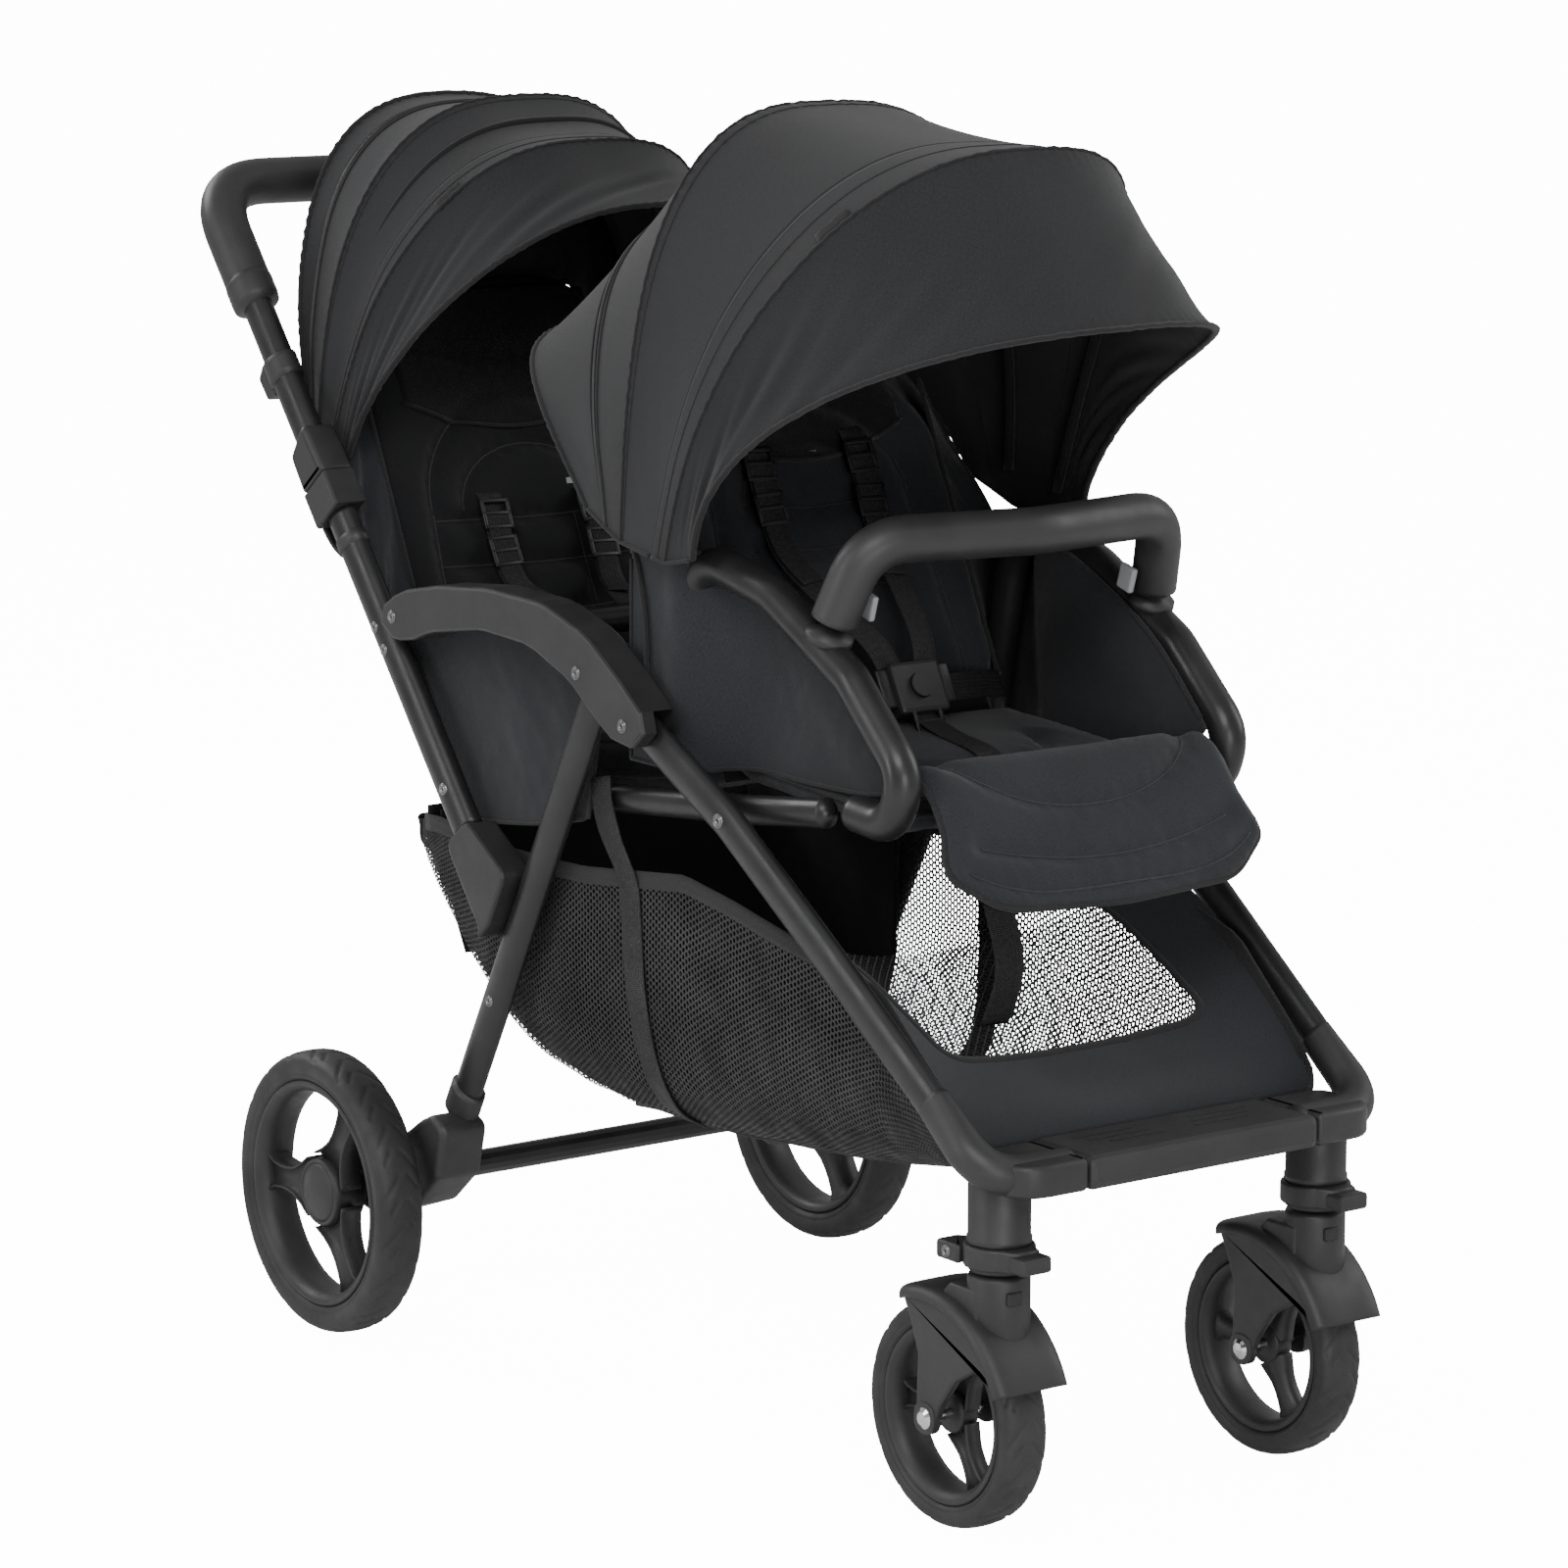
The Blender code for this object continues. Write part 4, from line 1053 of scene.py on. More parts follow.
def simulated(obj, pinned, cap, pressure=4.0):
    """The pad blown up a little as cloth, its sewn lines held, no point moved further than cap."""
    before = np.empty(len(obj.data.vertices) * 3)
    obj.data.vertices.foreach_get("co", before)
    group = obj.vertex_groups.new(name="sewn")
    group.add([int(i) for i in np.nonzero(pinned)[0]], 1.0, "REPLACE")
    change = obj.modifiers.new("cloth", "CLOTH")
    settings = change.settings
    settings.quality = 4
    settings.mass = 0.25
    settings.tension_stiffness = 12
    settings.compression_stiffness = 6
    settings.shear_stiffness = 4
    settings.bending_stiffness = 0.4
    settings.use_pressure = True
    settings.uniform_pressure_force = pressure
    settings.vertex_group_mass = "sewn"
    settings.effector_weights.gravity = 0
    change.collision_settings.use_self_collision = False
    scene = bpy.context.scene
    change.point_cache.frame_start, change.point_cache.frame_end = 1, 20
    for moment in range(1, 21):
        scene.frame_set(moment)
    seen = obj.evaluated_get(bpy.context.evaluated_depsgraph_get())
    after = np.empty(len(before))
    seen.data.vertices.foreach_get("co", after)
    move = (after - before).reshape(-1, 3)
    size = np.linalg.norm(move, axis=1, keepdims=True)
    move *= np.minimum(1.0, cap / np.maximum(size, 1e-9))
    obj.modifiers.clear()
    obj.vertex_groups.clear()
    scene.frame_set(1)
    obj.data.vertices.foreach_set("co", before + move.ravel())
    obj.data.update()


def flattened(mesh):
    """A mesh read through the modifiers of a temporary object."""
    made = bpy.data.objects.new("working", mesh)
    bpy.context.scene.collection.objects.link(made)
    return made


def baked(obj):
    seen = obj.evaluated_get(bpy.context.evaluated_depsgraph_get())
    mesh = bpy.data.meshes.new_from_object(seen)
    bpy.data.objects.remove(obj)
    return mesh


def pad(
    name, lay, outline, half, seams, body, replaces, material=None, roll=0.024, edge=0.0035, groove=0.5,
    seed=1.0, bind=True
):
    """A stuffed pad: an even voxel skin, quilted along its seams and blown up by the cloth solver."""
    outline = evenly(np.asarray(outline, float), 0.006)
    seams = [np.asarray(s, float) for s in seams]
    working = bmesh.new()
    low = [working.verts.new((u, v, -half)) for u, v in outline]
    face = working.faces.new(low)
    lifted = bmesh.ops.extrude_face_region(working, geom=[face])
    moved = [g for g in lifted["geom"] if isinstance(g, bmesh.types.BMVert)]
    bmesh.ops.translate(working, verts=moved, vec=(0, 0, 2 * half))
    bmesh.ops.recalc_face_normals(working, faces=working.faces)
    mesh = bpy.data.meshes.new("pad")
    working.to_mesh(mesh)
    working.free()
    obj = flattened(mesh)
    change = obj.modifiers.new("skin", "REMESH")
    change.mode = "VOXEL"
    change.voxel_size = 0.0052
    mesh = baked(obj)
    obj = flattened(mesh)
    co = np.empty(len(mesh.vertices) * 3)
    mesh.vertices.foreach_get("co", co)
    co = co.reshape(-1, 3)
    inside = away_from(co[:, :2], outline, True)
    t = np.clip(inside / roll, 0, 1)
    fullness = edge / half + (1 - edge / half) * np.sqrt(np.clip(1 - (1 - t) ** 2, 0, 1))
    near = np.full(len(co), 9.0)
    for seam in seams:
        near = np.minimum(near, away_from(co[:, :2], seam, False))
    top = co[:, 2] > 0
    valley = np.where(top, 1 - groove * np.exp(-((near / 0.0085) ** 2)), 1.0)
    co[:, 2] *= fullness * valley * 0.9
    mesh.vertices.foreach_set("co", co.ravel())
    mesh.update()
    pinned = (top & (near < 0.0034)) | (inside < 0.0045)
    simulated(obj, pinned, 0.009)
    change = obj.modifiers.new("fine", "SUBSURF")
    change.levels = change.render_levels = 1
    mesh = baked(obj)
    co = np.empty(len(mesh.vertices) * 3)
    mesh.vertices.foreach_get("co", co)
    co = co.reshape(-1, 3)
    near = np.full(len(co), 9.0)
    for seam in seams + [np.vstack([outline, outline[:1]])]:
        near = np.minimum(near, away_from(co[:, :2], seam, False))
    pucker = np.array([noise.noise(Vector((u * 95 + seed, v * 95, w * 60))) for u, v, w in co])
    slack = np.array([noise.noise(Vector((u * 16 + seed, v * 16, 0.0))) for u, v, w in co])
    co[:, 2] += np.sign(co[:, 2]) * (
        0.0011 * pucker * np.exp(-((near / 0.016) ** 2)) + 0.0012 * slack * np.clip(near / 0.02, 0, 1)
    )
    uvs = co[:, :2].copy()
    mesh.vertices.foreach_set("co", co.ravel())
    mesh.update()
    tree = BVHTree.FromPolygons([tuple(c) for c in co], [tuple(p.vertices) for p in mesh.polygons])

    def top_at(points):
        found = []
        for u, v in points:
            hit = tree.ray_cast(Vector((u, v, 0.2)), Vector((0, 0, -1)))
            found.append(hit[0].z if hit[0] is not None else 0.0)
        return np.array(found)

    world = lay.place(co[:, 0], co[:, 1], co[:, 2])
    mesh.vertices.foreach_set("co", world.ravel())
    corner = np.zeros(len(mesh.loops), int)
    mesh.loops.foreach_get("vertex_index", corner)
    while mesh.uv_layers:
        mesh.uv_layers.remove(mesh.uv_layers[0])
    mesh.uv_layers.new(name="UVMap").data.foreach_set("uv", uvs[corner].ravel())
    mesh.polygons.foreach_set("use_smooth", [True] * len(mesh.polygons))
    mesh.update()
    mesh.name = name
    made = put(name, mesh, material or SEAT, body, replaces)
    parts = []
    for seam in seams:
        line = resample(np.column_stack([seam, np.zeros(len(seam))]), step=0.003)[:, :2]
        heights = top_at(line)
        heights = np.convolve(np.pad(heights, 3, mode="edge"), np.ones(7) / 7, mode="valid")
        place = lay.place(line[:, 0], line[:, 1], heights + 0.0002)
        parts.append(tube_mesh("seam", place, 0.0009, 6))
    if parts:
        merged(f"{name}_seams", parts, THREAD, body)
    if bind:
        line = evenly(outline, 0.004)
        place = lay.place(line[:, 0], line[:, 1], 0.0)
        put(
            f"{name}_binding",
            tube_mesh("binding", place, 0.0030, 8, closed=True),
            BINDING,
            body,
        )
    return made, top_at


def arc(centre, a, b, start, end, count=26):
    turn = np.radians(np.linspace(start, end, count))
    return np.stack([centre[0] + a * np.cos(turn), centre[1] + b * np.sin(turn)], axis=1)


FRONT_HINGE, REAR_HINGE = (-0.432, 0.588), (0.0, 0.548)
LEAN = math.radians(65)


def on_back(hinge, run, lift):
    """A place (along, up) on a backrest: run up from its hinge, lift in front of its middle plane."""
    return (
        hinge[0] + run * math.cos(LEAN) - lift * math.sin(LEAN),
        hinge[1] + run * math.sin(LEAN) + lift * math.cos(LEAN),
    )


def pads():
    tops = {}
    back = Lay([on_back(FRONT_HINGE, 0.322, 0), on_back(FRONT_HINGE, 0.022, 0)])
    outline = rounded(
        [(-0.149, 0.300), (0.149, 0.300), (0.149, 0.060), (0.095, 0.0), (-0.095, 0.0), (-0.149, 0.060)],
        (0.03, 0.03, 0.06, 0.07, 0.07, 0.06)
    )
    seams = [arc((0, 0.125), 0.104, 0.092, 182, 358), arc((0, 0.125), 0.070, 0.054, 182, 358)]
    seams += [
        np.array([(-0.104, 0.125), (-0.112, 0.200), (-0.118, 0.296)]),
        np.array([(0.104, 0.125), (0.112, 0.200), (0.118, 0.296)])
    ]
    seams += [np.array([(-0.070, v), (0.0, v + 0.003), (0.070, v)]) for v in (0.127, 0.165, 0.203)]
    tops["front_back"] = (
        back,
        pad(
            "front_backrest_pad", back, outline, 0.016, seams, "front_backrest", ["front_backrest"],
            seed=2.0
        )[1]
    )
    back = Lay([on_back(REAR_HINGE, 0.412, 0), on_back(REAR_HINGE, 0.022, 0)])
    outline = rounded(
        [(-0.149, 0.390), (0.149, 0.390), (0.149, 0.070), (0.098, 0.0), (-0.098, 0.0), (-0.149, 0.070)],
        (0.03, 0.03, 0.07, 0.08, 0.08, 0.07)
    )
    seams = [arc((0, 0.225), 0.112, 0.110, 182, 358), arc((0, 0.225), 0.078, 0.062, 182, 358)]
    seams += [
        np.array([(-0.112, 0.225), (-0.118, 0.300), (-0.122, 0.386)]),
        np.array([(0.112, 0.225), (0.118, 0.300), (0.122, 0.386)])
    ]
    seams += [
        np.array([(-0.112, 0.231), (0.0, 0.234), (0.112, 0.231)]),
        np.array([(-0.115, 0.275), (0.0, 0.278), (0.115, 0.275)]),
        np.array([(-0.118, 0.322), (0.0, 0.325), (0.118, 0.322)])
    ]
    seams += [np.array([(x, 0.234), (x, 0.275), (x, 0.322)]) for x in (-0.040, 0.040)]
    seams += [np.array([(-0.132, 0.062), (0.0, 0.084), (0.132, 0.062)])]
    tops["rear_back"] = (
        back,
        pad(
            "rear_backrest_pad", back, outline, 0.016, seams, "rear_backrest", ["rear_backrest"],
            material=DARK_SEAT, seed=4.0
        )[1]
    )
    seat = Lay([(-0.444, 0.5741), (-0.6757, 0.5579)])
    outline = rounded(
        [(-0.149, 0.0), (0.149, 0.0), (0.149, 0.2315), (-0.149, 0.2315)], (0.02, 0.02, 0.035, 0.035)
    )
    seams = [
        arc((0, 0.098), 0.092, 0.076, 4, 176),
        np.array([(-0.146, 0.214), (-0.08, 0.2215), (0.0, 0.2245), (0.08, 0.2215), (0.146, 0.214)])
    ]
    tops["front_seat"] = (
        seat,
        pad(
            "front_seat_pad", seat, outline, 0.023, seams, "seat_frame", ["front_seat_cushion"], seed=6.0
        )[1]
    )
    seat = Lay([(-0.0202, 0.5232), (-0.3198, 0.5388)])
    outline = rounded(
        [(-0.149, 0.0), (0.149, 0.0), (0.149, 0.298), (-0.149, 0.298)], (0.02, 0.02, 0.05, 0.05)
    )
    seams = [arc((0, 0.135), 0.100, 0.092, 4, 176), arc((0, 0.135), 0.130, 0.135, 10, 170)]
    tops["rear_seat"] = (
        seat,
        pad("rear_seat_pad", seat, outline, 0.023, seams, "seat_frame", ["rear_seat_cushion"], seed=8.0)[1]
    )
    calf = Lay(
        [
            (-0.684, 0.5925), (-0.704, 0.5920), (-0.7215, 0.5800), (-0.7375, 0.5570), (-0.7520, 0.5340),
            (-0.7660, 0.5130), (-0.7790, 0.4940)
        ]
    )
    long = calf.length
    corners = [
        (0.150, 0.0), (0.1515, 0.070), (0.1605, 0.098), (0.1605, long - 0.034), (0.120, long - 0.002),
        (0.0, long + 0.005)
    ]
    outline = rounded(
        [(-0.150, 0.0), *corners, *[(-u, v) for u, v in corners[4:0:-1]]],
        (0.012, 0.012, 0.05, 0.02, 0.04, 0.06, 0.3, 0.06, 0.04, 0.02, 0.05)
    )
    seams = [
        arc((0, -0.016), 0.134, 0.082, 14, 166),
        np.array(
            [(u, long - 0.0085 - 0.026 * (abs(u) / 0.145) ** 4) for u in np.linspace(-0.146, 0.146, 25)]
        )
    ]
    seams.append(
        np.array(
            [(u, long - 0.034 - 0.020 * (abs(u) / 0.128) ** 2) for u in np.linspace(-0.128, 0.128, 21)]
        )
    )
    tops["calf"] = (
        calf,
        pad(
            "calf_rest_pad", calf, outline, 0.0125, seams, "calf_rest", ["calf_rest"], roll=0.016, seed=10.0
        )[1]
    )
    for kind, low, high, half, tag_at in (
        ("rear", 0.012, 0.118, 0.118, 0.205), ("front", 0.010, 0.060, 0.112, 0.085)
    ):
        lay, top = tops[f"{kind}_back"]
        rows, columns = 26, 60
        v, u = np.meshgrid(np.linspace(low, high, rows), np.linspace(-1, 1, columns), indexing="ij")
        bow = v + 0.030 * (1 - u**2) * (v - low) / (high - low)
        u = u * half
        lift = top(np.column_stack([u.ravel(), bow.ravel()])).reshape(rows, columns) + 0.0022
        lift[:, 0] -= 0.002
        lift[:, -1] -= 0.002
        cover = lay.place(u, bow, lift)
        made = put(
            f"{kind}_headrest_mesh",
            sheet_mesh(f"{kind}_headrest_mesh", cover[:, ::-1], 0.0010),
            HEAD_NET,
            f"{kind}_backrest",
        )
        hem = put(
            f"{kind}_headrest_hem", tube_mesh("hem", cover[-1], 0.0020, 8), BINDING, f"{kind}_backrest",
        )
        declare(made, cover, [f"{kind}_backrest_pad"])
        label = soft_box((0.020, 0.0060, 0.0010), 0.0004)
        beside = 0.045 if kind == "rear" else 0.004
        place = lay.place(beside, tag_at, top([(beside, tag_at)])[0] + 0.0008)
        label.transform(axes(place, (1, 0, 0), (0, -math.sin(LEAN), math.cos(LEAN))))
        put(f"{kind}_slot_label", label, GREY, f"{kind}_backrest")
    return tops


def surface_sheet(
    name, corners, bulge, body, rows=50, columns=60, material=None, seed=1.0, folds=0.004, fold_angle=0.0,
    rests="", thickness=0.0014, blend=None, hem=True
):
    """A cloth panel lofted between four boundary lines (low, high, back, front), with soft folds."""
    low, high = (resample(line, count=columns) for line in corners)
    share = np.linspace(0, 1, rows)[:, None, None]
    grid = low[None] * (1 - share) + high[None] * share
    out = normals_of(grid)
    u, v = grid_uv(grid)[..., 0], grid_uv(grid)[..., 1]
    inside = np.sin(math.pi * np.linspace(0, 1, rows))[:, None] ** 0.6 * np.sin(
        math.pi * np.linspace(0, 1, columns)
    )[None, :] ** 0.4
    c, s = math.cos(fold_angle), math.sin(fold_angle)
    shape = bulge * inside + folds * noise_grid(u * c + v * s, v * c - u * s, 22.0, 5.0, seed) * inside
    shape = shape + 0.0012 * noise_grid(u, v, 60.0, 50.0, seed + 3) * inside
    grid = grid + out * shape[..., None]
    made = put(name, sheet_mesh(name, grid, thickness), material or SEAT, None if blend else body)
    edges = []
    if hem:
        for where, line in (
            ("low", grid[0]), ("high", grid[-1]), ("back", grid[:, 0]), ("front", grid[:, -1])
        ):
            piece = put(
                f"{name}_hem_{where}",
                tube_mesh("hem", resample(line[::3], step=0.005), 0.0024, 8, flat=0.8),
                BINDING,
                None if blend else body,
            )
            edges.append(piece)
    if blend:
        for piece in (made, *edges):
            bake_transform(piece)
    declare(made, grid, [rests] if rests else [])
    return made, grid


def side_panels():
    """The sides of both seats, the wings that follow the backrests, and cloths behind the joints."""
    for side, sign in SIDES.items():

        def edge(points):
            return [at(sign * x, along, up) for x, along, up in points]

        low = edge(
            (
                (0.1895, -0.358, 0.566), (0.1905, -0.402, 0.566), (0.1905, -0.436, 0.567),
                (0.1540, -0.484, 0.571), (0.1515, -0.552, 0.570), (0.1515, -0.622, 0.571),
                (0.1520, -0.676, 0.577)
            )
        )
        high = edge(
            (
                (0.1895, -0.360, 0.742), (0.1905, -0.400, 0.752), (0.1905, -0.430, 0.752),
                (0.1610, -0.466, 0.742), (0.1525, -0.538, 0.722), (0.1520, -0.628, 0.674),
                (0.1520, -0.700, 0.606)
            )
        )
        surface_sheet(
            f"front_seat_side_{side}", (low, high), 0.003 * sign, "seat_frame", rows=60, columns=90,
            seed=3.0 + sign, folds=0.0035, fold_angle=0.9, rests=f"seat_hoop_{side}_look"
        )
        low = edge(
            (
                (0.1960, -0.110, 0.478), (0.1960, -0.160, 0.482), (0.1960, -0.235, 0.492),
                (0.1950, -0.300, 0.506)
            )
        )
        high = edge(
            (
                (0.1935, -0.006, 0.640), (0.1935, -0.100, 0.654), (0.1900, -0.220, 0.655),
                (0.1850, -0.312, 0.622)
            )
        )
        surface_sheet(
            f"rear_seat_side_{side}", (low, high), 0.004 * sign, "seat_frame", seed=5.0 + sign, folds=0.003,
            rests=f"side_rail_{side}_look"
        )
        for kind, hinge, runs, outer in (
            (
                "rear",
                REAR_HINGE,
                (0.060, 0.15, 0.22, 0.30, 0.385),
                (
                    (0.1975, -0.030, 0.600), (0.1980, 0.015, 0.658), (0.1980, 0.053, 0.706),
                    (0.1960, 0.088, 0.750), (0.1880, 0.114, 0.790)
                )
            ),
            (
                "front",
                FRONT_HINGE,
                (0.030, 0.10, 0.17, 0.24, 0.300),
                (
                    (0.1930, -0.380, 0.600), (0.1935, -0.386, 0.660), (0.1935, -0.378, 0.716),
                    (0.1885, -0.352, 0.762), (0.1830, -0.300, 0.812)
                )
            ),
        ):
            low = [at(sign * 0.150, *on_back(hinge, run, 0.006)) for run in runs]
            high = edge(outer)
            start = (float(low[2][0] + sign * 0.022), 0.0, 0.0)
            end = (float(low[2][0] + sign * 0.004), 0.0, 0.0)
            surface_sheet(
                f"{kind}_seat_wing_{side}",
                (low, high),
                0.006 * sign,
                None,
                rows=40,
                columns=70,
                seed=7.0 + sign,
                folds=0.013 if kind == "rear" else 0.006,
                fold_angle=0.5,
                rests=f"{kind}_backrest_pad",
                blend=(("seat_frame", f"{kind}_backrest"), start, end),
            )
    for kind, hinge, foot in (
        ("front", FRONT_HINGE, (-0.440, 0.553)), ("rear", REAR_HINGE, (-0.020, 0.500))
    ):
        top = on_back(hinge, 0.030, -0.019)
        across = np.linspace(-0.150, 0.150, 9)
        surface_sheet(
            f"{kind}_seat_gap_cloth",
            ([at(x, *foot) for x in across], [at(x, *top) for x in across]),
            0.003,
            None,
            rows=24,
            material=DARK_SEAT,
            seed=17.0,
            folds=0.002,
            rests=f"{kind}_backrest_pad",
            blend=(("seat_frame", f"{kind}_backrest"), at(0, *foot), at(0, *top)),
            hem=False,
        )


def canopy_backs(front, rear):
    """Loose panels that close the gap from each canopy's back hem to the top of its backrest."""
    for kind, (made, grid), hinge, run in (
        ("front", front, FRONT_HINGE, 0.318), ("rear", rear, REAR_HINGE, 0.408)
    ):
        hem = grid[0][12:-12]
        keep = hem[np.linspace(0, len(hem) - 1, 15).astype(int)]
        keep[:, 0] *= 0.985
        lift = -0.019
        width = 0.146
        low = []
        for t in np.linspace(-1, 1, 15):
            edge = max(0.0, abs(t) - 0.72) / 0.28
            low.append(
                at(width * np.sign(t) * min(1.0, abs(t) / 0.86), *on_back(hinge, run - 0.16 * edge, lift))
            )
        start = at(0, *on_back(hinge, run + 0.16, lift))
        end = at(0, *on_back(hinge, run + 0.01, lift))
        surface_sheet(
            f"{kind}_canopy_back_panel",
            (low, [tuple(p) for p in keep]),
            0.012,
            None,
            rows=40,
            columns=90,
            material=CANOPY,
            seed=13.0,
            folds=0.008,
            fold_angle=0.1,
            rests=f"{kind}_backrest_pad",
            blend=(("seat_frame", f"{kind}_backrest"), start, end),
        )


def ladder(name, centre, along, out, body, width=0.031, height=0.030):
    """A strap adjuster: a frame with three bars."""
    along, out = unit(along), unit(out)
    across = np.cross(along, out)
    parts = []
    for shift in (-0.42, -0.02, 0.42):
        mesh = soft_box((width, 0.0042, 0.0042), 0.0012)
        mesh.transform(axes(centre + along * height * shift, across, out))
        parts.append(mesh)
    for shift in (-0.5, 0.5):
        mesh = soft_box((0.0040, height, 0.0042), 0.0012)
        mesh.transform(axes(centre + across * (width - 0.004) * shift, across, out))
        parts.append(mesh)
    for mesh in parts:
        for face in mesh.polygons:
            face.use_smooth = True
    return merged(name, parts, DEEP_PLASTIC, body)


def harness(tops):
    """Five straps on each seat, their adjusters, and the frame round each buckle."""
    for kind, hinge, buckle, reach, seat_line in (
        ("front", FRONT_HINGE, (-0.503, 0.626), (0.262, 0.205, 0.150, 0.100), "front_seat"),
        ("rear", REAR_HINGE, (-0.085, 0.590), (0.205, 0.150, 0.112, 0.086), "rear_seat"),
    ):
        lay, top = tops[f"{kind}_back"]
        full = lay.length
        body_back = f"{kind}_backrest"
        for side, sign in SIDES.items():
            route = []
            for across, run, extra in (
                (0.052, reach[0], -0.004), (0.053, reach[0] - 0.012, 0.0045), (0.054, reach[1], 0.006),
                (0.051, reach[2], 0.010)
            ):
                v = full + 0.022 - run
                height = top([(sign * across, v)])[0]
                route.append(at(sign * across, *on_back(hinge, run, height + extra)))
            route.append(at(sign * 0.041, *on_back(hinge, reach[3], 0.046)))
            route.append(at(sign * 0.026, buckle[0] + 0.026, buckle[1] + 0.040))
            route.append(at(sign * 0.019, buckle[0] + 0.010, buckle[1] + 0.018))
            line = resample(route, step=0.004)
            share = np.linspace(0, 1, len(line))[:, None]
            across = np.array((1.0, 0, 0)) + share * np.array((0, 0, -0.15 * sign))
            mesh = band_mesh("strap", line, across, 0.0245, 0.0016)
            strap = put(f"{kind}_shoulder_strap_{side}", mesh, STRAP, None)
            loops = []
            for number, where in enumerate((0.14, 0.30)):
                i = int(where * (len(line) - 1))
                tangent = unit(line[i + 1] - line[i - 1])
                out = np.cross(tangent, X)
                out = out if out[1] < 0 else -out
                loops.append(
                    ladder(
                        f"{kind}_strap_adjuster_{side}_{number}", line[i] + out * 0.0028, tangent, out,
                        body_back
                    )
                )
            doubled = line[int(0.14 * len(line)) : int(0.62 * len(line))]
            tangent = unit(np.gradient(doubled, axis=0))
            out = np.cross(tangent, X)
            out = np.where(out[:, 1:2] < 0, out, -out)
            second = put(
                f"{kind}_strap_overlap_{side}",
                band_mesh("strap", doubled + out * 0.0034, X, 0.0235, 0.0015),
                STRAP,
                None,
            )
            for piece in (strap, second):
                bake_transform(piece)
            route = [
                (sign * 0.022, buckle[0] + 0.006, buckle[1] - 0.002),
                (sign * 0.060, buckle[0] + 0.020, buckle[1] - 0.006)
            ]
            route += [
                (sign * 0.110, buckle[0] + 0.046, buckle[1] - 0.012),
                (sign * 0.142, buckle[0] + 0.062, buckle[1] - 0.018)
            ]
            line = resample([at(*p) for p in route], step=0.004)
            put(
                f"{kind}_waist_strap_{side}",
                band_mesh("strap", line, (0, 0.45, 0.9), 0.0245, 0.0016),
                STRAP,
                "seat_frame",
            )
        lay, top = tops[seat_line]
        middle = at(0, *buckle)
        down = np.array((0, math.sin(math.radians(28)), math.cos(math.radians(28)))) * -1
        out = np.array((0, -math.cos(math.radians(28)), math.sin(math.radians(28))))
        first = middle + down * 0.020
        seat_top = [
            lay.place(0.0, v, top([(0.0, v)])[0] + 0.0016)
            for v in ((0.075, 0.105, 0.140, 0.158) if kind == "front" else (0.085, 0.120, 0.160, 0.180))
        ]
        last = seat_top[-1] - np.array((0, 0, 0.006))
        route = [first, first + down * 0.008 + out * 0.004, *seat_top[1:], last]
        line = resample(route, step=0.004)
        put(
            f"{kind}_crotch_strap", band_mesh("strap", line, X, 0.0245, 0.0018), STRAP, "seat_frame",
        )
        ladder(f"{kind}_crotch_adjuster", first + down * 0.012 + out * 0.006, down, out, "seat_frame")
        for side, sign in SIDES.items():
            tongue = soft_box((0.016, 0.036, 0.009), 0.003)
            tongue.transform(axes(middle + X * sign * 0.0305 + down * -0.002, X, out))
            for face in tongue.polygons:
                face.use_smooth = True
            put(f"{kind}_buckle_tongue_{side}", tongue, DEEP_PLASTIC, "seat_frame")


# Basket

STATIONS = np.array(
    (
        (-0.806, 0.1815, 0.300, 0.332),
        (-0.760, 0.1850, 0.281, 0.372),
        (-0.700, 0.1870, 0.268, 0.424),
        (-0.640, 0.1880, 0.259, 0.440),
        (-0.573, 0.1890, 0.252, 0.450),
        (-0.500, 0.1890, 0.245, 0.464),
        (-0.433, 0.1890, 0.240, 0.474),
        (-0.360, 0.1890, 0.236, 0.466),
        (-0.286, 0.1890, 0.235, 0.458),
        (-0.225, 0.1885, 0.240, 0.456),
        (-0.170, 0.1880, 0.252, 0.456),
        (-0.120, 0.1870, 0.276, 0.458),
        (-0.080, 0.1850, 0.312, 0.462),
        (-0.045, 0.1820, 0.352, 0.464),
        (-0.015, 0.1780, 0.396, 0.462),
        (0.004, 0.1720, 0.436, 0.456),
    )
)


def basket_section(along, turns):
    """Points round the tub at a station; turns go from the left hem (0) to the right hem (1)."""
    half, low, high = (np.interp(along, STATIONS[:, 0], STATIONS[:, k]) for k in (1, 2, 3))
    angle = math.pi * (1 + turns)
    across = -np.sign(np.cos(angle)) * np.abs(np.cos(angle)) ** 0.42 * half * -1
    up = high - (high - low) * np.abs(np.sin(angle)) ** 0.42
    return np.stack([across, np.full_like(turns, along + AXLE_BEHIND_MIDDLE), up], axis=-1)


def basket_grid(first, last, low, high, rows, columns, seed, amount=0.003):
    turns = np.linspace(low, high, columns)
    dense = np.linspace(0, 1, 400)
    grid = []
    for along in np.linspace(first, last, rows):
        section = basket_section(along, 0.5 - 0.5 * np.cos(math.pi * dense))
        run = lengths(section)
        where = turns * run[-1]
        grid.append(np.stack([np.interp(where, run, section[:, k]) for k in range(3)], axis=1))
    grid = np.array(grid)
    out = normals_of(grid)
    uv = grid_uv(grid)
    edge = np.clip(np.minimum(turns, 1 - turns) / 0.05, 0, 1)[None, :]
    shape = amount * noise_grid(uv[..., 0], uv[..., 1], 11.0, 7.0, seed) + 0.4 * amount * noise_grid(
        uv[..., 0], uv[..., 1], 34.0, 26.0, seed + 4
    )
    return grid + out * (shape * edge)[..., None]


def sewn(name, mesh, material):
    """A piece of the basket, which hangs from the seat frame."""
    return put(name, mesh, material, "seat_frame")


def squashed(*pieces):
    for piece in pieces:
        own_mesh(piece)


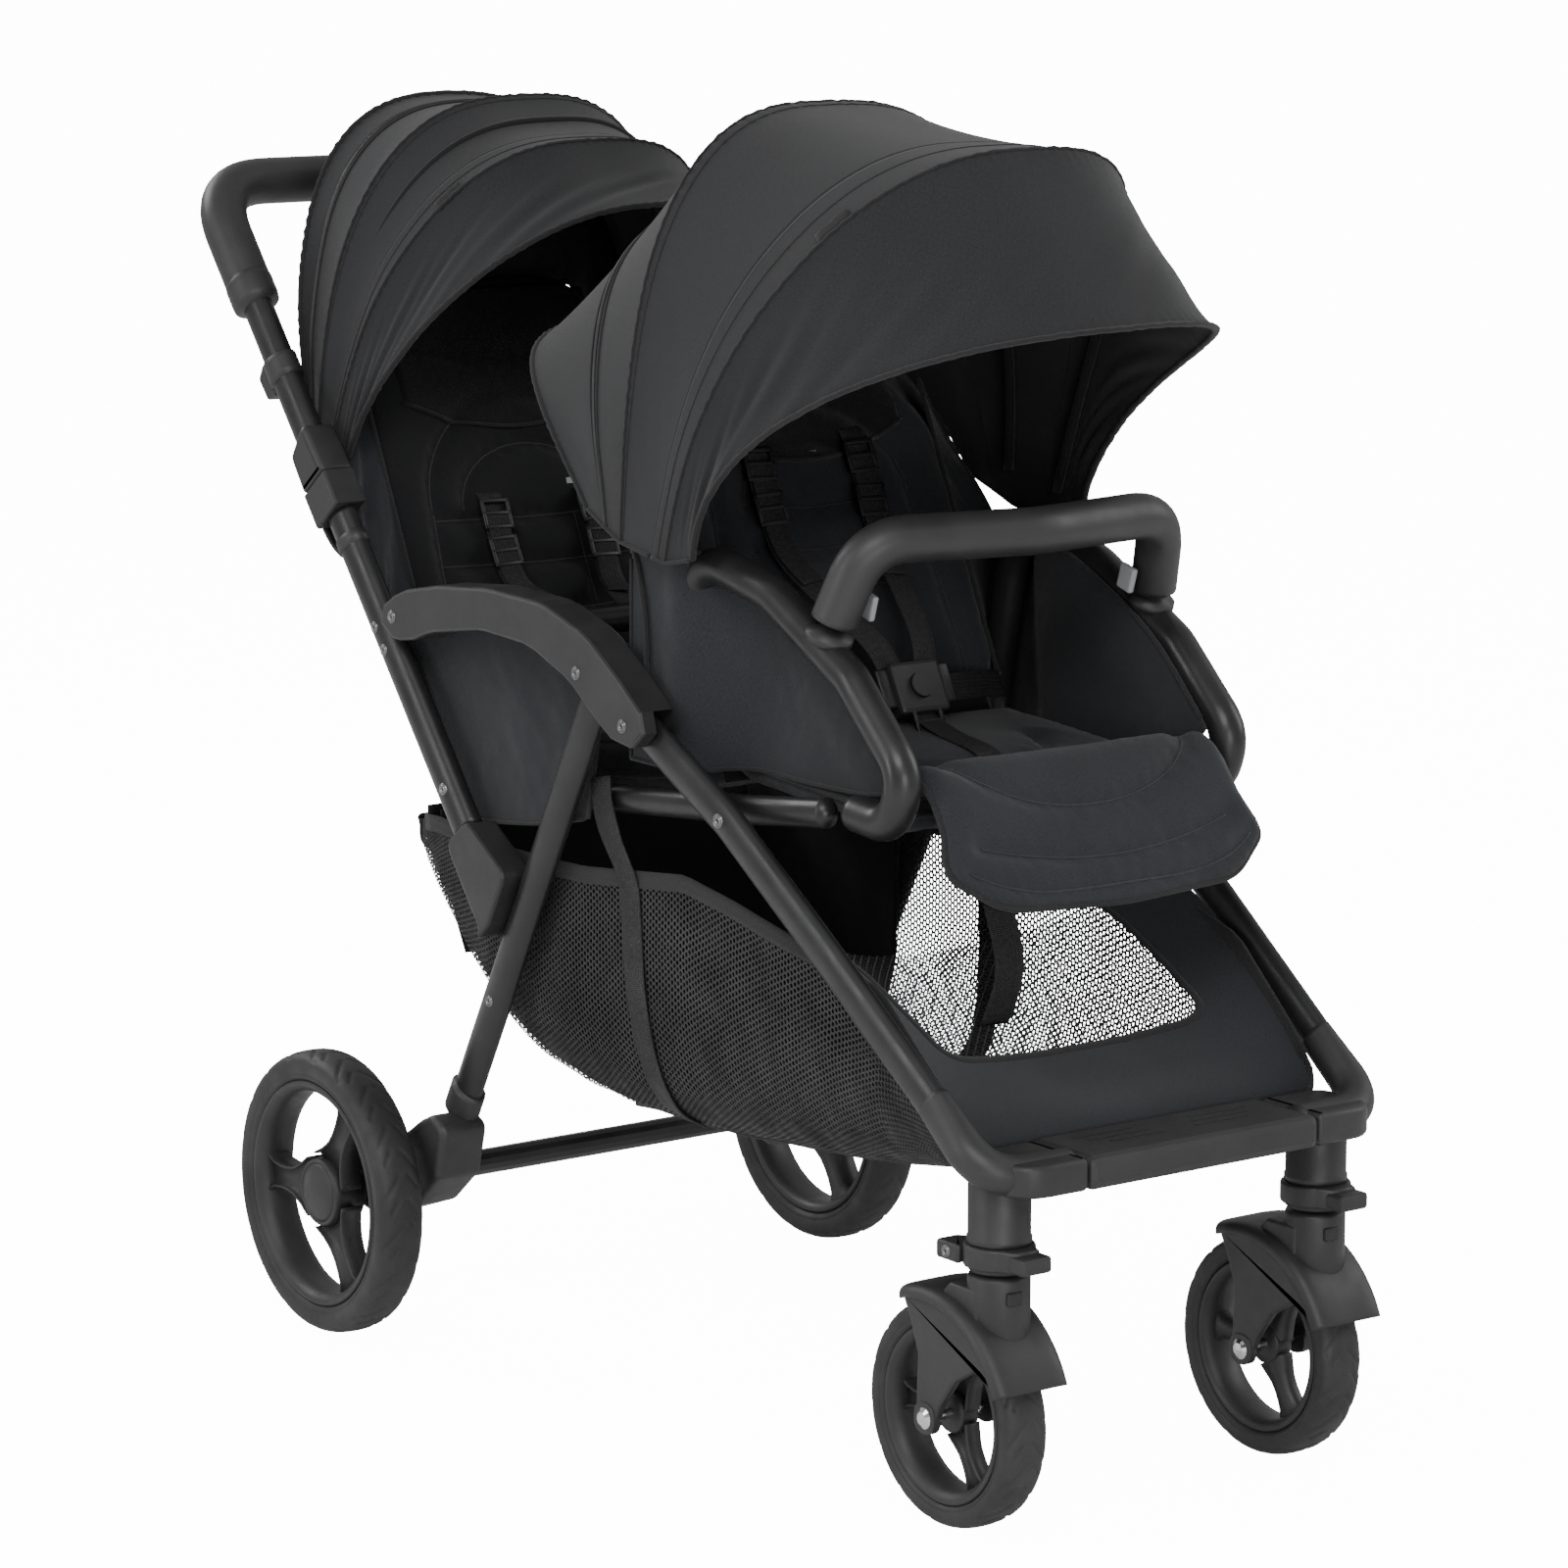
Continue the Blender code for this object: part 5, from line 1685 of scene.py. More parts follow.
def basket():
    wall = 0.335
    left = basket_grid(-0.806, 0.004, 0.0, wall, 130, 44, 2.0)
    right = basket_grid(-0.806, 0.004, 1 - wall, 1.0, 130, 44, 5.0)
    bottom = basket_grid(-0.806, 0.004, wall, 1 - wall, 110, 44, 8.0, 0.0035)
    named = {}
    for name, grid, material, depth in (
        ("basket_side_left", left, SIDE_NET, 0.0009),
        ("basket_side_right", right, SIDE_NET, 0.0009),
        ("basket_bottom", bottom, DARK_SEAT, 0.0014),
    ):
        made = sewn(name, sheet_mesh(name, grid, depth), material)
        named[name] = (made, grid)
    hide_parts("basket")
    trims = []
    for side, grid, where in (("left", left, 0), ("right", right, -1)):
        sign = SIDES[side]
        hem = grid[2:-2, where]
        band = band_mesh("hem", hem[::2] + (0, 0, -0.004), (0, 0.0, 1.0), 0.0150, 0.0032)
        trims.append(sewn(f"basket_top_hem_{side}", band, BINDING))
        seam = grid[2:-2, -1 if where == 0 else 0]
        trims.append(
            sewn(
                f"basket_lower_seam_{side}",
                tube_mesh("seam", seam[::2] + np.array((sign * 0.0012, 0, 0)), 0.0027, 8),
                BINDING
            )
        )
        # A webbing strap hangs from the rail, over the hem and down round the mesh.
        along = -0.352
        row = int(np.argmin(np.abs(grid[:, 0, 1] - AXLE_BEHIND_MIDDLE - along)))
        path = grid[row] if where == 0 else grid[row][::-1]
        wrap = path[1:] + np.array((sign * 0.0028, 0, 0)) + np.array((0, -1.0, 0)) * np.linspace(
            0, 0.028, len(path) - 1
        )[:, None]
        top = [
            at(sign * 0.1945, -0.318, 0.545), at(sign * 0.196, -0.324, 0.520),
            at(sign * 0.1965, -0.338, 0.494)
        ]
        line = resample(np.vstack([top, wrap[::5]]), step=0.006)
        trims.append(
            sewn(
                f"basket_side_strap_{side}", band_mesh("strap", line, (0, 1.0, 0.12), 0.029, 0.0018), STRAP
            )
        )
        rear = grid[-2]
        trims.append(
            sewn(f"basket_rear_edge_{side}", tube_mesh("edge", rear[::2], 0.0030, 8, flat=0.8), BINDING)
        )
    # The back wall, bellied out behind.
    end = basket_section(0.002, np.linspace(0, 1, 61))
    top_line = np.stack(
        [np.linspace(-0.172, 0.172, 61), np.full(61, AXLE_BEHIND_MIDDLE), np.full(61, 0.462)], axis=1
    )
    share = np.linspace(0, 1, 14)[:, None, None]
    grid = end[None] * (1 - share) + top_line[None] * share
    grid[..., 1] += 0.006 * np.sin(math.pi * share[..., 0])
    end_wall = grid
    back = sewn("basket_rear_wall", sheet_mesh("basket_rear_wall", grid, 0.0014), DARK_SEAT)
    # A plain flap hangs inside, across the rear of the tub, from the seat's rear edge to the bottom.
    share = np.linspace(0, 1, 40)[:, None]
    across = np.linspace(-0.170, 0.170, 60)[None]
    flap_line = resample(
        [(0, -0.026, 0.470), (0, -0.031, 0.440), (0, -0.046, 0.385), (0, -0.066, 0.345)], count=40
    )[:, 1:]
    flap = np.stack(
        [
            across + 0 * share,
            flap_line[:, 0][:, None] + AXLE_BEHIND_MIDDLE + 0 * across,
            flap_line[:, 1][:, None] + 0 * across
        ],
        axis=-1
    )
    cloth_run = grid_uv(flap)
    flap[..., 1] += 0.004 * noise_grid(cloth_run[..., 0], cloth_run[..., 1], 18.0, 4.0, 41.0)
    inner_flap = sewn("basket_inner_flap", sheet_mesh("basket_inner_flap", flap, 0.0012), LINING)
    # The front wall slopes up and back from the footplate between the legs, and has a window.
    rows, columns = 90, 121
    across = np.linspace(-1, 1, columns)
    steps = np.linspace(0, 1, rows)
    middle = resample(
        [
            (0, -0.8035, 0.3040), (0, -0.7960, 0.3210), (0, -0.7520, 0.3380), (0, -0.6970, 0.3590),
            (0, -0.5930, 0.3920), (0, -0.5400, 0.4080)
        ],
        count=rows
    )[:, 1:]
    sides = resample(
        [
            (0, -0.8035, 0.3040), (0, -0.7975, 0.3280), (0, -0.7550, 0.3720), (0, -0.6970, 0.4170),
            (0, -0.6400, 0.4500), (0, -0.5900, 0.4640)
        ],
        count=rows
    )[:, 1:]
    share = np.abs(across)[None, :, None] ** 2.4
    line = middle[:, None] * (1 - share) + sides[:, None] * share
    half = np.interp(steps, (0, 0.1, 1), (0.1830, 0.1895, 0.1955))[:, None]
    front = np.stack([half * across[None], line[..., 0] + AXLE_BEHIND_MIDDLE, line[..., 1]], axis=-1)
    out = normals_of(front)
    out *= np.where(out[..., 2:3] < 0, -1, 1)
    inner = (1 - np.abs(across)[None] ** 3) * ((0.05 + steps[:, None]) / 1.05)
    width, length = 0.380, 0.302
    plain = np.stack(np.broadcast_arrays((across[None] + 1) * width / 2, steps[:, None] * length), axis=-1)
    front = front + out * (
        0.0028 * noise_grid(plain[..., 0], plain[..., 1], 13.0, 9.0, 31.0) * inner
    )[..., None]
    window = rounded(
        [(0.052, 0.112), (width - 0.052, 0.112), (width - 0.046, length + 0.014), (0.046, length + 0.014)],
        (0.028, 0.028, 0.004, 0.004)
    )
    flat = (plain[:-1, :-1] + plain[1:, 1:]).reshape(-1, 2) / 2
    hole = inside_outline(flat, window).reshape(rows - 1, columns - 1)
    panel = sewn("basket_front_panel", holed_sheet("basket_front_panel", front, plain, hole, 0.0014), SEAT)

    def on_front(points, lift=0.0):
        i = np.clip(points[:, 1] / length * (rows - 1), 0, rows - 1.001)
        j = np.clip(points[:, 0] / width * (columns - 1), 0, columns - 1.001)
        a, b = i.astype(int), j.astype(int)
        s, t = (i - a)[:, None], (j - b)[:, None]
        near = front[a, b] * (1 - s) * (1 - t) + front[a + 1, b] * s * (1 - t)
        place = near + front[a, b + 1] * (1 - s) * t + front[a + 1, b + 1] * s * t
        return place + out[a, b] * lift

    cords = []
    for slope in (1, -1):
        direction = unit(np.array((1.0, slope * 1.05)))
        normal = np.array((-direction[1], direction[0]))
        for step in np.arange(-0.32, 0.32, 0.0064):
            base = normal * step + np.array((width / 2, length / 2))
            run = np.arange(-0.32, 0.32, 0.003)
            points = base + run[:, None] * direction
            keep = inside_outline(points, window) & (points[:, 1] < length - 0.001)
            if keep.sum() < 3:
                continue
            place = on_front(points[keep], 0.0003 * slope)
            cords.append(tube_mesh("cord", place, 0.00050, 4))
    lattice = merged("basket_window_mesh", cords, WINDOW, "seat_frame")
    edge = evenly(window, 0.004)
    low_part = edge[:, 1] < length - 0.001
    edge = np.roll(edge, -int(np.argmax(low_part & ~np.roll(low_part, 1))), axis=0)[: int(low_part.sum())]
    border = sewn(
        "basket_window_binding", tube_mesh("binding", on_front(edge, 0.0010), 0.0048, 8, flat=0.42), BINDING
    )
    low_edge = sewn("basket_front_hem", tube_mesh("hem", front[0], 0.0034, 8), BINDING)
    strap = resample(
        [
            at(-0.041, -0.668, 0.475), at(-0.041, -0.684, 0.426), at(-0.041, -0.672, 0.385),
            at(-0.041, -0.664, 0.3725)
        ],
        step=0.005
    )
    webbing_ = sewn("basket_front_strap", band_mesh("strap", strap, X, 0.030, 0.0018), STRAP)
    back_hem = sewn("basket_rear_hem", band_mesh("hem", top_line[1:-1], (0, 0, 1.0), 0.016, 0.003), BINDING)
    liners = []
    for side, low, high in (("left", 0.0, wall), ("right", 1 - wall, 1.0)):
        grid = basket_grid(
            -0.240, 0.000, low, high, 44, 40, 15.0, 0.002
        ) - np.array((SIDES[side] * 0.004, 0, 0))
        liner = sewn(f"basket_liner_{side}", sheet_mesh(f"basket_liner_{side}", grid, 0.0012), LINING)
        declare(liner, grid, [f"basket_side_{side}"])
        liners.append(liner)
    pieces = [made for made, _ in named.values()] + trims + liners + [
        panel, lattice, border, low_edge, webbing_, back_hem, back, inner_flap
    ]
    squashed(*pieces)
    for name, (made, grid) in named.items():
        declare(made, grid, ["side_rail_left_look", "side_rail_right_look"])
    declare(back, end_wall, ["basket_side_left", "basket_side_right"])
    declare(inner_flap, flap, ["basket_bottom"])


def inside_outline(points, outline):
    """True for points inside a closed outline in the plane."""
    count = np.zeros(len(points), int)
    for a, b in zip(outline, np.roll(outline, -1, 0)):
        crosses = (a[1] > points[:, 1]) != (b[1] > points[:, 1])
        with np.errstate(divide="ignore", invalid="ignore"):
            x = (b[0] - a[0]) * (points[:, 1] - a[1]) / (b[1] - a[1]) + a[0]
        count += crosses & (points[:, 0] < x)
    return count % 2 == 1


def holed_sheet(name, grid, uv, hole, thickness):
    """A thin two-faced cloth with an opening left in it."""
    rows, columns = grid.shape[:2]
    size = rows * columns
    lower = grid + normals_of(grid) * thickness
    faces = []
    for i in range(rows - 1):
        for j in range(columns - 1):
            if hole[i, j]:
                continue
            quad = (i * columns + j, i * columns + j + 1, (i + 1) * columns + j + 1, (i + 1) * columns + j)
            faces.append(quad)
            faces.append(tuple(k + size for k in quad[::-1]))
    solid = np.pad(~hole, 1)
    for i in range(rows - 1):
        for j in range(columns - 1):
            if hole[i, j]:
                continue
            a, b = i * columns + j, i * columns + j + 1
            c, d = (i + 1) * columns + j + 1, (i + 1) * columns + j
            for beside, (p, q) in (
                ((i, j + 1), (a, b)), ((i + 1, j + 2), (b, c)), ((i + 2, j + 1), (c, d)),
                ((i + 1, j), (d, a))
            ):
                if not solid[beside]:
                    faces.append((q, p, p + size, q + size))
    verts = np.concatenate([grid.reshape(-1, 3), lower.reshape(-1, 3)])
    mesh = build(name, verts, faces, np.concatenate([uv.reshape(-1, 2)] * 2))
    working = bmesh.new()
    working.from_mesh(mesh)
    bmesh.ops.delete(working, geom=[v for v in working.verts if not v.link_faces], context="VERTS")
    bmesh.ops.recalc_face_normals(working, faces=working.faces)
    working.to_mesh(mesh)
    working.free()
    return mesh


# Frame


def rounded_route(corners, radius, steps=14):
    """Corners in space as a line whose bends are smooth arcs."""
    corners = [np.asarray(c, float) for c in corners]
    line = [corners[0]]
    for before, corner, after in zip(corners, corners[1:], corners[2:]):
        b, a = unit(before - corner), unit(after - corner)
        half = math.acos(np.clip(np.dot(a, b), -1, 1)) / 2
        if half > math.radians(89):
            line.append(corner)
            continue
        reach = min(
            radius / math.tan(half), 0.48 * np.linalg.norm(before - corner),
            0.48 * np.linalg.norm(after - corner)
        )
        start, end = corner + b * reach, corner + a * reach
        for t in np.linspace(0, 1, steps):
            line.append(start * (1 - t) ** 2 + 2 * corner * t * (1 - t) + end * t**2)
    line.append(corners[-1])
    line = np.array(line)
    run = lengths(line)
    where = np.linspace(0, run[-1], max(4, round(run[-1] / 0.004)))
    return np.stack([np.interp(where, run, line[:, k]) for k in range(3)], axis=1)


def bar_mesh(name, corners, radius, bend, narrow=1.0, ends=0.0, sides=28):
    """A smooth bent tube; narrow squeezes it across the frame, and ends rounds off its tips."""
    line = rounded_route(corners, bend)
    size = np.full(len(line), radius)
    if ends:
        run = lengths(line)
        tip = np.minimum(run, run[-1] - run)
        size = radius * np.sqrt(np.clip(1 - (1 - np.clip(tip / ends, 0, 1)) ** 2, 0.04, 1))
    mesh = tube_mesh(name, line, size, sides)
    if narrow != 1.0:
        co = np.array([v.co for v in mesh.vertices]).reshape(len(line), sides, 3)
        co[..., 0] = line[:, None, 0] + (co[..., 0] - line[:, None, 0]) * narrow
        mesh.vertices.foreach_set("co", co.ravel())
        mesh.update()
    return mesh


def bar(name, corners, radius, bend, material, body, replaces=(), narrow=1.0, ends=0.0):
    return put(name, bar_mesh(name, corners, radius, bend, narrow, ends), material, body, replaces)


TUBE_FOOT, TUBE_LEAN = (-0.174, 0.433), math.radians(51.4)


def on_tube(length, behind=0.0):
    along = TUBE_FOOT[0] + length * math.cos(TUBE_LEAN) + behind * math.sin(TUBE_LEAN)
    up = TUBE_FOOT[1] + length * math.sin(TUBE_LEAN) - behind * math.cos(TUBE_LEAN)
    return along, up


def tubes():
    for side, sign in SIDES.items():
        x = sign * 0.214
        bar(
            f"push_tube_{side}_look",
            [at(x, *on_tube(0.052)), at(x, *on_tube(0.3805))],
            0.017,
            0,
            PAINT,
            "seat_frame",
            [f"push_tube_{side}"],
            0.706
        )
        rail = [
            at(sign * 0.180, -0.098, 0.504), at(sign * 0.180, -0.522, 0.545),
            at(sign * 0.180, -0.626, 0.558)
        ]
        bar(
            f"side_rail_{side}_look", rail, 0.0125, 0.05, PAINT, "seat_frame",
            [f"side_rail_{side}"], 0.85, ends=0.003
        )
        hoop = [
            (-0.3885, 0.560), (-0.4285, 0.748), (-0.5355, 0.724), (-0.6405, 0.668), (-0.7125, 0.600),
            (-0.6965, 0.556), (-0.6415, 0.561)
        ]
        bar(
            f"seat_hoop_{side}_look", [at(sign * 0.170, *p) for p in hoop], 0.0155, 0.050, PAINT,
            "seat_frame", [f"seat_hoop_{side}"], ends=0.006
        )
        leg = [at(sign * 0.208, -0.338, 0.624), at(sign * 0.208, -0.112, 0.210)]
        bar(
            f"rear_leg_{side}_look", leg, 0.0170, 0, PAINT, "rear_legs",
            [f"rear_leg_{side}"], 0.56
        )
        leg = [
            at(sign * x, *p) for x,
            p in (
                (0.208, (-0.393, 0.606)), (0.208, (-0.522, 0.540)), (0.206, (-0.660, 0.447)),
                (0.201, (-0.797, 0.3475))
            )
        ]
        bar(
            f"front_leg_{side}_look", leg, 0.0170, 0.16, PAINT, "front_legs",
            [f"front_leg_{side}"], 0.56
        )
        arm = [at(x, *on_tube(0.425)), at(x, *on_tube(0.6217))]
        bar(
            f"handle_arm_{side}_look", arm, 0.0160, 0, PAINT, "handle",
            [f"handle_arm_{side}"], 0.80
        )
        knuckle = rounded(
            [
                on_tube(0.4168, -0.0210), on_tube(0.4168, 0.0215), on_tube(0.4560, 0.0195),
                on_tube(0.4700, -0.0190)
            ],
            (0.004, 0.004, 0.010, 0.008)
        )
        mesh = slab("knuckle", knuckle, x - 0.0168, x + 0.0168, 0.005)
        put(f"handle_knuckle_{side}", mesh, PLASTIC, "handle")
        collar = bar_mesh(
            "collar", [at(x, *on_tube(0.522)), at(x, *on_tube(0.552))], 0.0182, 0, 0.84, 0.002
        )
        clip = rounded(
            [on_tube(0.520, 0.014), on_tube(0.524, 0.030), on_tube(0.548, 0.031), on_tube(0.556, 0.014)],
            0.004
        )
        meshes = [collar, slab("clip", clip, x - 0.0085, x + 0.0085, 0.002)]
        merged(f"handle_collar_{side}", meshes, PLASTIC, "handle")
        sleeve = bar_mesh(
            "sleeve", [at(x, *on_tube(0.604)), at(x, *on_tube(0.640))], 0.0232, 0, 0.94, 0.006
        )
        put(f"grip_sleeve_{side}", sleeve, PLASTIC, "handle")
        lever = [
            at(x, *on_tube(*p))
            for p in (
                (0.4100, 0.0150), (0.4020, 0.0235), (0.3840, 0.0265), (0.3640, 0.0235), (0.3480, 0.0165)
            )
        ]
        put(
            f"handle_lever_{side}",
            band_mesh("lever", resample(lever, step=0.003), X, 0.013, 0.0035),
            DEEP_PLASTIC,
            "seat_frame",
        )
        band = bar_mesh("band", [at(x, *on_tube(0.340)), at(x, *on_tube(0.362))], 0.0180, 0, 0.74, 0.001)
        put(f"push_tube_band_{side}", band, PLASTIC, "seat_frame")
        foot, top = at(sign * 0.1690, -0.6050, 0.6900), at(sign * 0.1682, -0.6111, 0.7068)
        socket = bar_mesh("socket", [foot, top], 0.0200, 0, ends=0.002)
        put(f"bumper_socket_{side}", socket, PLASTIC, "seat_frame")
        front_moulding(side, sign)
        fork(side, sign)
        rear_moulding(side, sign)
    bar(
        "rear_guard_bar_look",
        [at(-0.1897, -0.100, 0.640), at(0.1897, -0.100, 0.640)],
        0.013,
        0,
        PAINT,
        "seat_frame",
        ["rear_guard_bar"]
    )
    low, high = on_tube(0.622), on_tube(0.744)
    bow = [at(-0.214, *low), at(-0.214, *high), at(0.214, *high), at(0.214, *low)]
    bar("handle_grip_look", bow, 0.0215, 0.078, FOAM, "handle", ["handle_grip"], ends=0.004)
    ends = (-0.6115, 0.7080)
    bow = [
        at(-0.168, *ends), at(-0.154, -0.6385, 0.778), at(0, -0.6625, 0.777), at(0.154, -0.6385, 0.778),
        at(0.168, *ends)
    ]
    bar(
        "bumper_bar_look", bow, 0.0195, 0.066, FOAM, "bumper_bar", ["bumper_bar"],
        ends=0.003
    )


def slab(name, outline, low, high, bevel, plan=False, segments=3):
    """A moulded plate with soft edges: a side outline carried across X, or one in plan carried up."""
    working = bmesh.new()
    if plan:
        verts = [working.verts.new((x, y + AXLE_BEHIND_MIDDLE, low)) for x, y in outline]
        reach = (0, 0, high - low)
    else:
        verts = [working.verts.new((low, y + AXLE_BEHIND_MIDDLE, z)) for y, z in outline]
        reach = (high - low, 0, 0)
    lifted = bmesh.ops.extrude_face_region(working, geom=[working.faces.new(verts)])
    moved = [g for g in lifted["geom"] if isinstance(g, bmesh.types.BMVert)]
    bmesh.ops.translate(working, verts=moved, vec=reach)
    bmesh.ops.recalc_face_normals(working, faces=working.faces)
    rims = [
        e for e in working.edges if all(
            len(f.verts) > 4 for f in e.link_faces
        ) or e.calc_face_angle(0.0) > 1.2
    ]
    bmesh.ops.bevel(working, geom=rims, offset=bevel, segments=segments, affect="EDGES", profile=0.5)
    caps = [f for f in working.faces if len(f.verts) > 8]
    bmesh.ops.inset_region(working, faces=caps, thickness=0.0008)
    mesh = bpy.data.meshes.new(name)
    working.to_mesh(mesh)
    working.free()
    for face in mesh.polygons:
        face.use_smooth = True
    return mesh


def upright(name, profile, centre, steps=48, flat=1.0):
    """A profile of (radius, height) turned about an upright line."""
    rings = np.array(profile, float)
    turn = np.linspace(0, 2 * math.pi, steps, endpoint=False)
    verts = np.stack(
        [
            rings[:, :1] * np.cos(turn)[None] + centre[0],
            rings[:, :1] * np.sin(turn)[None] * flat + centre[1] + AXLE_BEHIND_MIDDLE,
            np.repeat(rings[:, 1:], steps, axis=1),
        ],
        axis=-1,
    )
    faces = grid_faces(len(rings), steps, 0, True, True)
    faces += [tuple(range(steps)), tuple(range((len(rings) - 1) * steps, len(rings) * steps))[::-1]]
    return build(name, verts.reshape(-1, 3), faces)


def front_moulding(side, sign):
    """The corner that turns from the leg into the footplate, the caster's post and its clamp."""
    across = sign * 0.166
    bend = [
        at(sign * 0.2005, -0.7890, 0.3535), at(sign * 0.2000, -0.8560, 0.3040),
        at(sign * 0.1200, -0.8570, 0.3030)
    ]
    line = rounded_route(bend, 0.055)
    run = lengths(line) / lengths(line)[-1]
    mesh = tube_mesh("sweep", line, 0.0172 - 0.0012 * run, 32)
    co = np.array([v.co for v in mesh.vertices]).reshape(len(line), 32, 3)
    narrow = np.interp(run, (0.0, 0.35, 0.6), (0.68, 0.95, 1.0))
    co[..., 0] = line[:, None, 0] + (
        co[..., 0] - line[:, None, 0]
    ) * np.where(run < 0.6, narrow, 1.0)[:, None]
    mesh.vertices.foreach_set("co", co.ravel())
    meshes = [mesh]
    wing = rounded(
        [(sign * 0.1205, -0.885), (sign * 0.1205, -0.812), (sign * 0.186, -0.812), (sign * 0.186, -0.885)],
        (0.004, 0.004, 0.02, 0.03)
    )
    meshes.append(slab("wing", wing, 0.2895, 0.3165, 0.005, plan=True))
    post = [
        (0.0245, 0.2440), (0.0262, 0.2460), (0.0262, 0.2500), (0.0252, 0.2515), (0.0252, 0.2990),
        (0.0240, 0.3030)
    ]
    meshes.append(upright("post", post, (across, -0.830)))
    meshes.append(
        upright("socket", [(0.0235, 0.2225), (0.0248, 0.2240), (0.0248, 0.2470)], (across, -0.830))
    )
    merged(
        f"front_corner_{side}_look", meshes, PLASTIC, "front_legs",
        [f"front_corner_{side}"]
    )
    ring = [
        (across + 0.0292 * math.cos(t), -0.830 + 0.0292 * math.sin(t))
        for t in np.radians(np.linspace(-52, 232, 44))
    ]
    ring += [(across - 0.0125, -0.8650), (across, -0.8668), (across + 0.0125, -0.8650)]
    meshes = [slab("ring", ring, 0.2262, 0.2445, 0.0028, plan=True)]
    lug = rounded(
        [
            (across - sign * 0.004, -0.806), (across + sign * 0.0300, -0.816),
            (across + sign * 0.0300, -0.786), (across + sign * 0.008, -0.786)
        ],
        0.004
    )
    meshes.append(slab("lug", lug, 0.2275, 0.2430, 0.003, plan=True))
    merged(f"caster_clamp_{side}", meshes, PLASTIC, "front_legs")
    # Thin strips of deeper black plastic across the footplate: painted shade for its grooves.
    groove = []
    for row, (start, end) in enumerate(((0.016, 0.072), (0.022, 0.084), (0.030, 0.090))):
        strip = soft_box((end - start, 0.0016, 0.0010), 0.0004)
        strip.transform(
            Matrix.Translation(Vector(at(sign * (start + end) / 2, -0.852 + 0.012 * row, 0.3168)))
        )
        groove.append(strip)
    merged(f"footplate_ribs_{side}", groove, DEEP_PLASTIC, "front_legs")


def fork(side, sign):
    """The caster's barrel, its mudguard and the two cheeks that reach down to the wheel's bolt."""
    across, axle = sign * 0.166, (-0.7783, 0.0935)
    outer = 0.1048
    angles = np.linspace(70, 158, 50)
    spread = np.linspace(-1, 1, 33)
    grid = []
    for angle in angles:
        drop = 0.008 * np.abs(spread) ** 5
        half = 0.0335 * (1 - 0.10 * np.clip((80 - angle) / 10, 0, 1))
        turn = math.radians(angle)
        radius = outer - drop
        along, up = axle[0] + radius * math.cos(turn), axle[1] + radius * math.sin(turn)
        grid.append(
            np.stack(
                [
                    across + sign * half * np.sin(spread * math.pi / 2 * 0.98),
                    along + AXLE_BEHIND_MIDDLE,
                    up
                ],
                axis=1
            )
        )
    meshes = [sheet_mesh("guard", np.array(grid)[:, :: int(sign)], 0.0032)]
    corners = [polar(axle, outer - 0.003, angle) for angle in (158, 149, 138, 126, 114, 102, 90, 79, 72)]
    corners += [
        (-0.7590, 0.1680), (-0.7680, 0.1440), (-0.7665, 0.1200), (-0.7660, 0.0960), (-0.7700, 0.0850),
        (-0.7783, 0.0805), (-0.7870, 0.0850), (-0.7960, 0.1060), (-0.8150, 0.1310), (-0.8430, 0.1480)
    ]
    cheek = rounded(corners, 0.008, 4)
    for face in (-1, 1):
        middle = across + face * 0.0290
        mesh = slab("cheek", cheek, middle - 0.0043, middle + 0.0043, 0.0026)
        meshes.append(mesh)
        meshes.append(
            slab(
                "boss",
                evenly(
                    rounded(
                        [(-0.7915, 0.0803), (-0.7651, 0.0803), (-0.7651, 0.1067), (-0.7915, 0.1067)],
                        0.0130,
                        8
                    ),
                    0.003
                ),
                middle - 0.0048 + face * 0.0008,
                middle + 0.0040 + face * 0.0016,
                0.001
            )
        )
    barrel = [(0.0225, 0.1560), (0.0252, 0.1600), (0.0252, 0.2165), (0.0240, 0.2195)]
    meshes.append(upright("barrel", barrel, (across, -0.830)))
    lug = rounded(
        [
            (-0.835, 0.2090), (-0.799, 0.2090), (-0.789, 0.1990), (-0.786, 0.1780), (-0.806, 0.1640),
            (-0.835, 0.1640)
        ],
        0.005
    )
    meshes.append(slab("lug", lug, across - 0.0262, across + 0.0262, 0.003))
    merged(
        f"caster_fork_{side}_look", meshes, PLASTIC, f"caster_{side}",
        [f"caster_fork_{side}"]
    )
    button = soft_box((0.0150, 0.0040, 0.0110), 0.0016)
    button.transform(Matrix.Translation(Vector(at(across - 0.004, -0.8549, 0.2040))))
    put(f"caster_mark_{side}", button, DEEP_PLASTIC, f"caster_{side}")


def rear_moulding(side, sign):
    """The bracket on a rear leg's foot that carries the wheel's stub."""
    outline = [
        (-0.1405, 0.2075), (-0.1180, 0.2170), (-0.1000, 0.2090), (-0.0600, 0.1830), (0.0140, 0.1500),
        (0.0180, 0.1120), (-0.0220, 0.1040), (-0.0900, 0.1280), (-0.1280, 0.1600)
    ]
    x = sign * 0.2195
    meshes = [slab("bracket", rounded(outline, 0.012, 5), x - 0.0240, x + 0.0240, 0.006)]
    for low, high, radius in ((0.236, 0.2520, 0.0155), (0.245, 0.2870, 0.0078)):
        meshes.append(
            tube_mesh("stub", [at(sign * low, 0, 0.1284), at(sign * high, 0, 0.1284)], radius, 24)
        )
    clamp = rounded_route([at(sign * 0.208, -0.1275, 0.2385), at(sign * 0.208, -0.1150, 0.2155)], 0)
    ring = tube_mesh("clamp", clamp, 0.0196, 28)
    co = np.array([v.co for v in ring.vertices])
    co[:, 0] = sign * 0.208 + (co[:, 0] - sign * 0.208) * 0.70
    ring.vertices.foreach_set("co", co.ravel())
    meshes.append(ring)
    merged(
        f"rear_bracket_{side}_look", meshes, PLASTIC, "rear_legs",
        [f"rear_bracket_{side}"]
    )


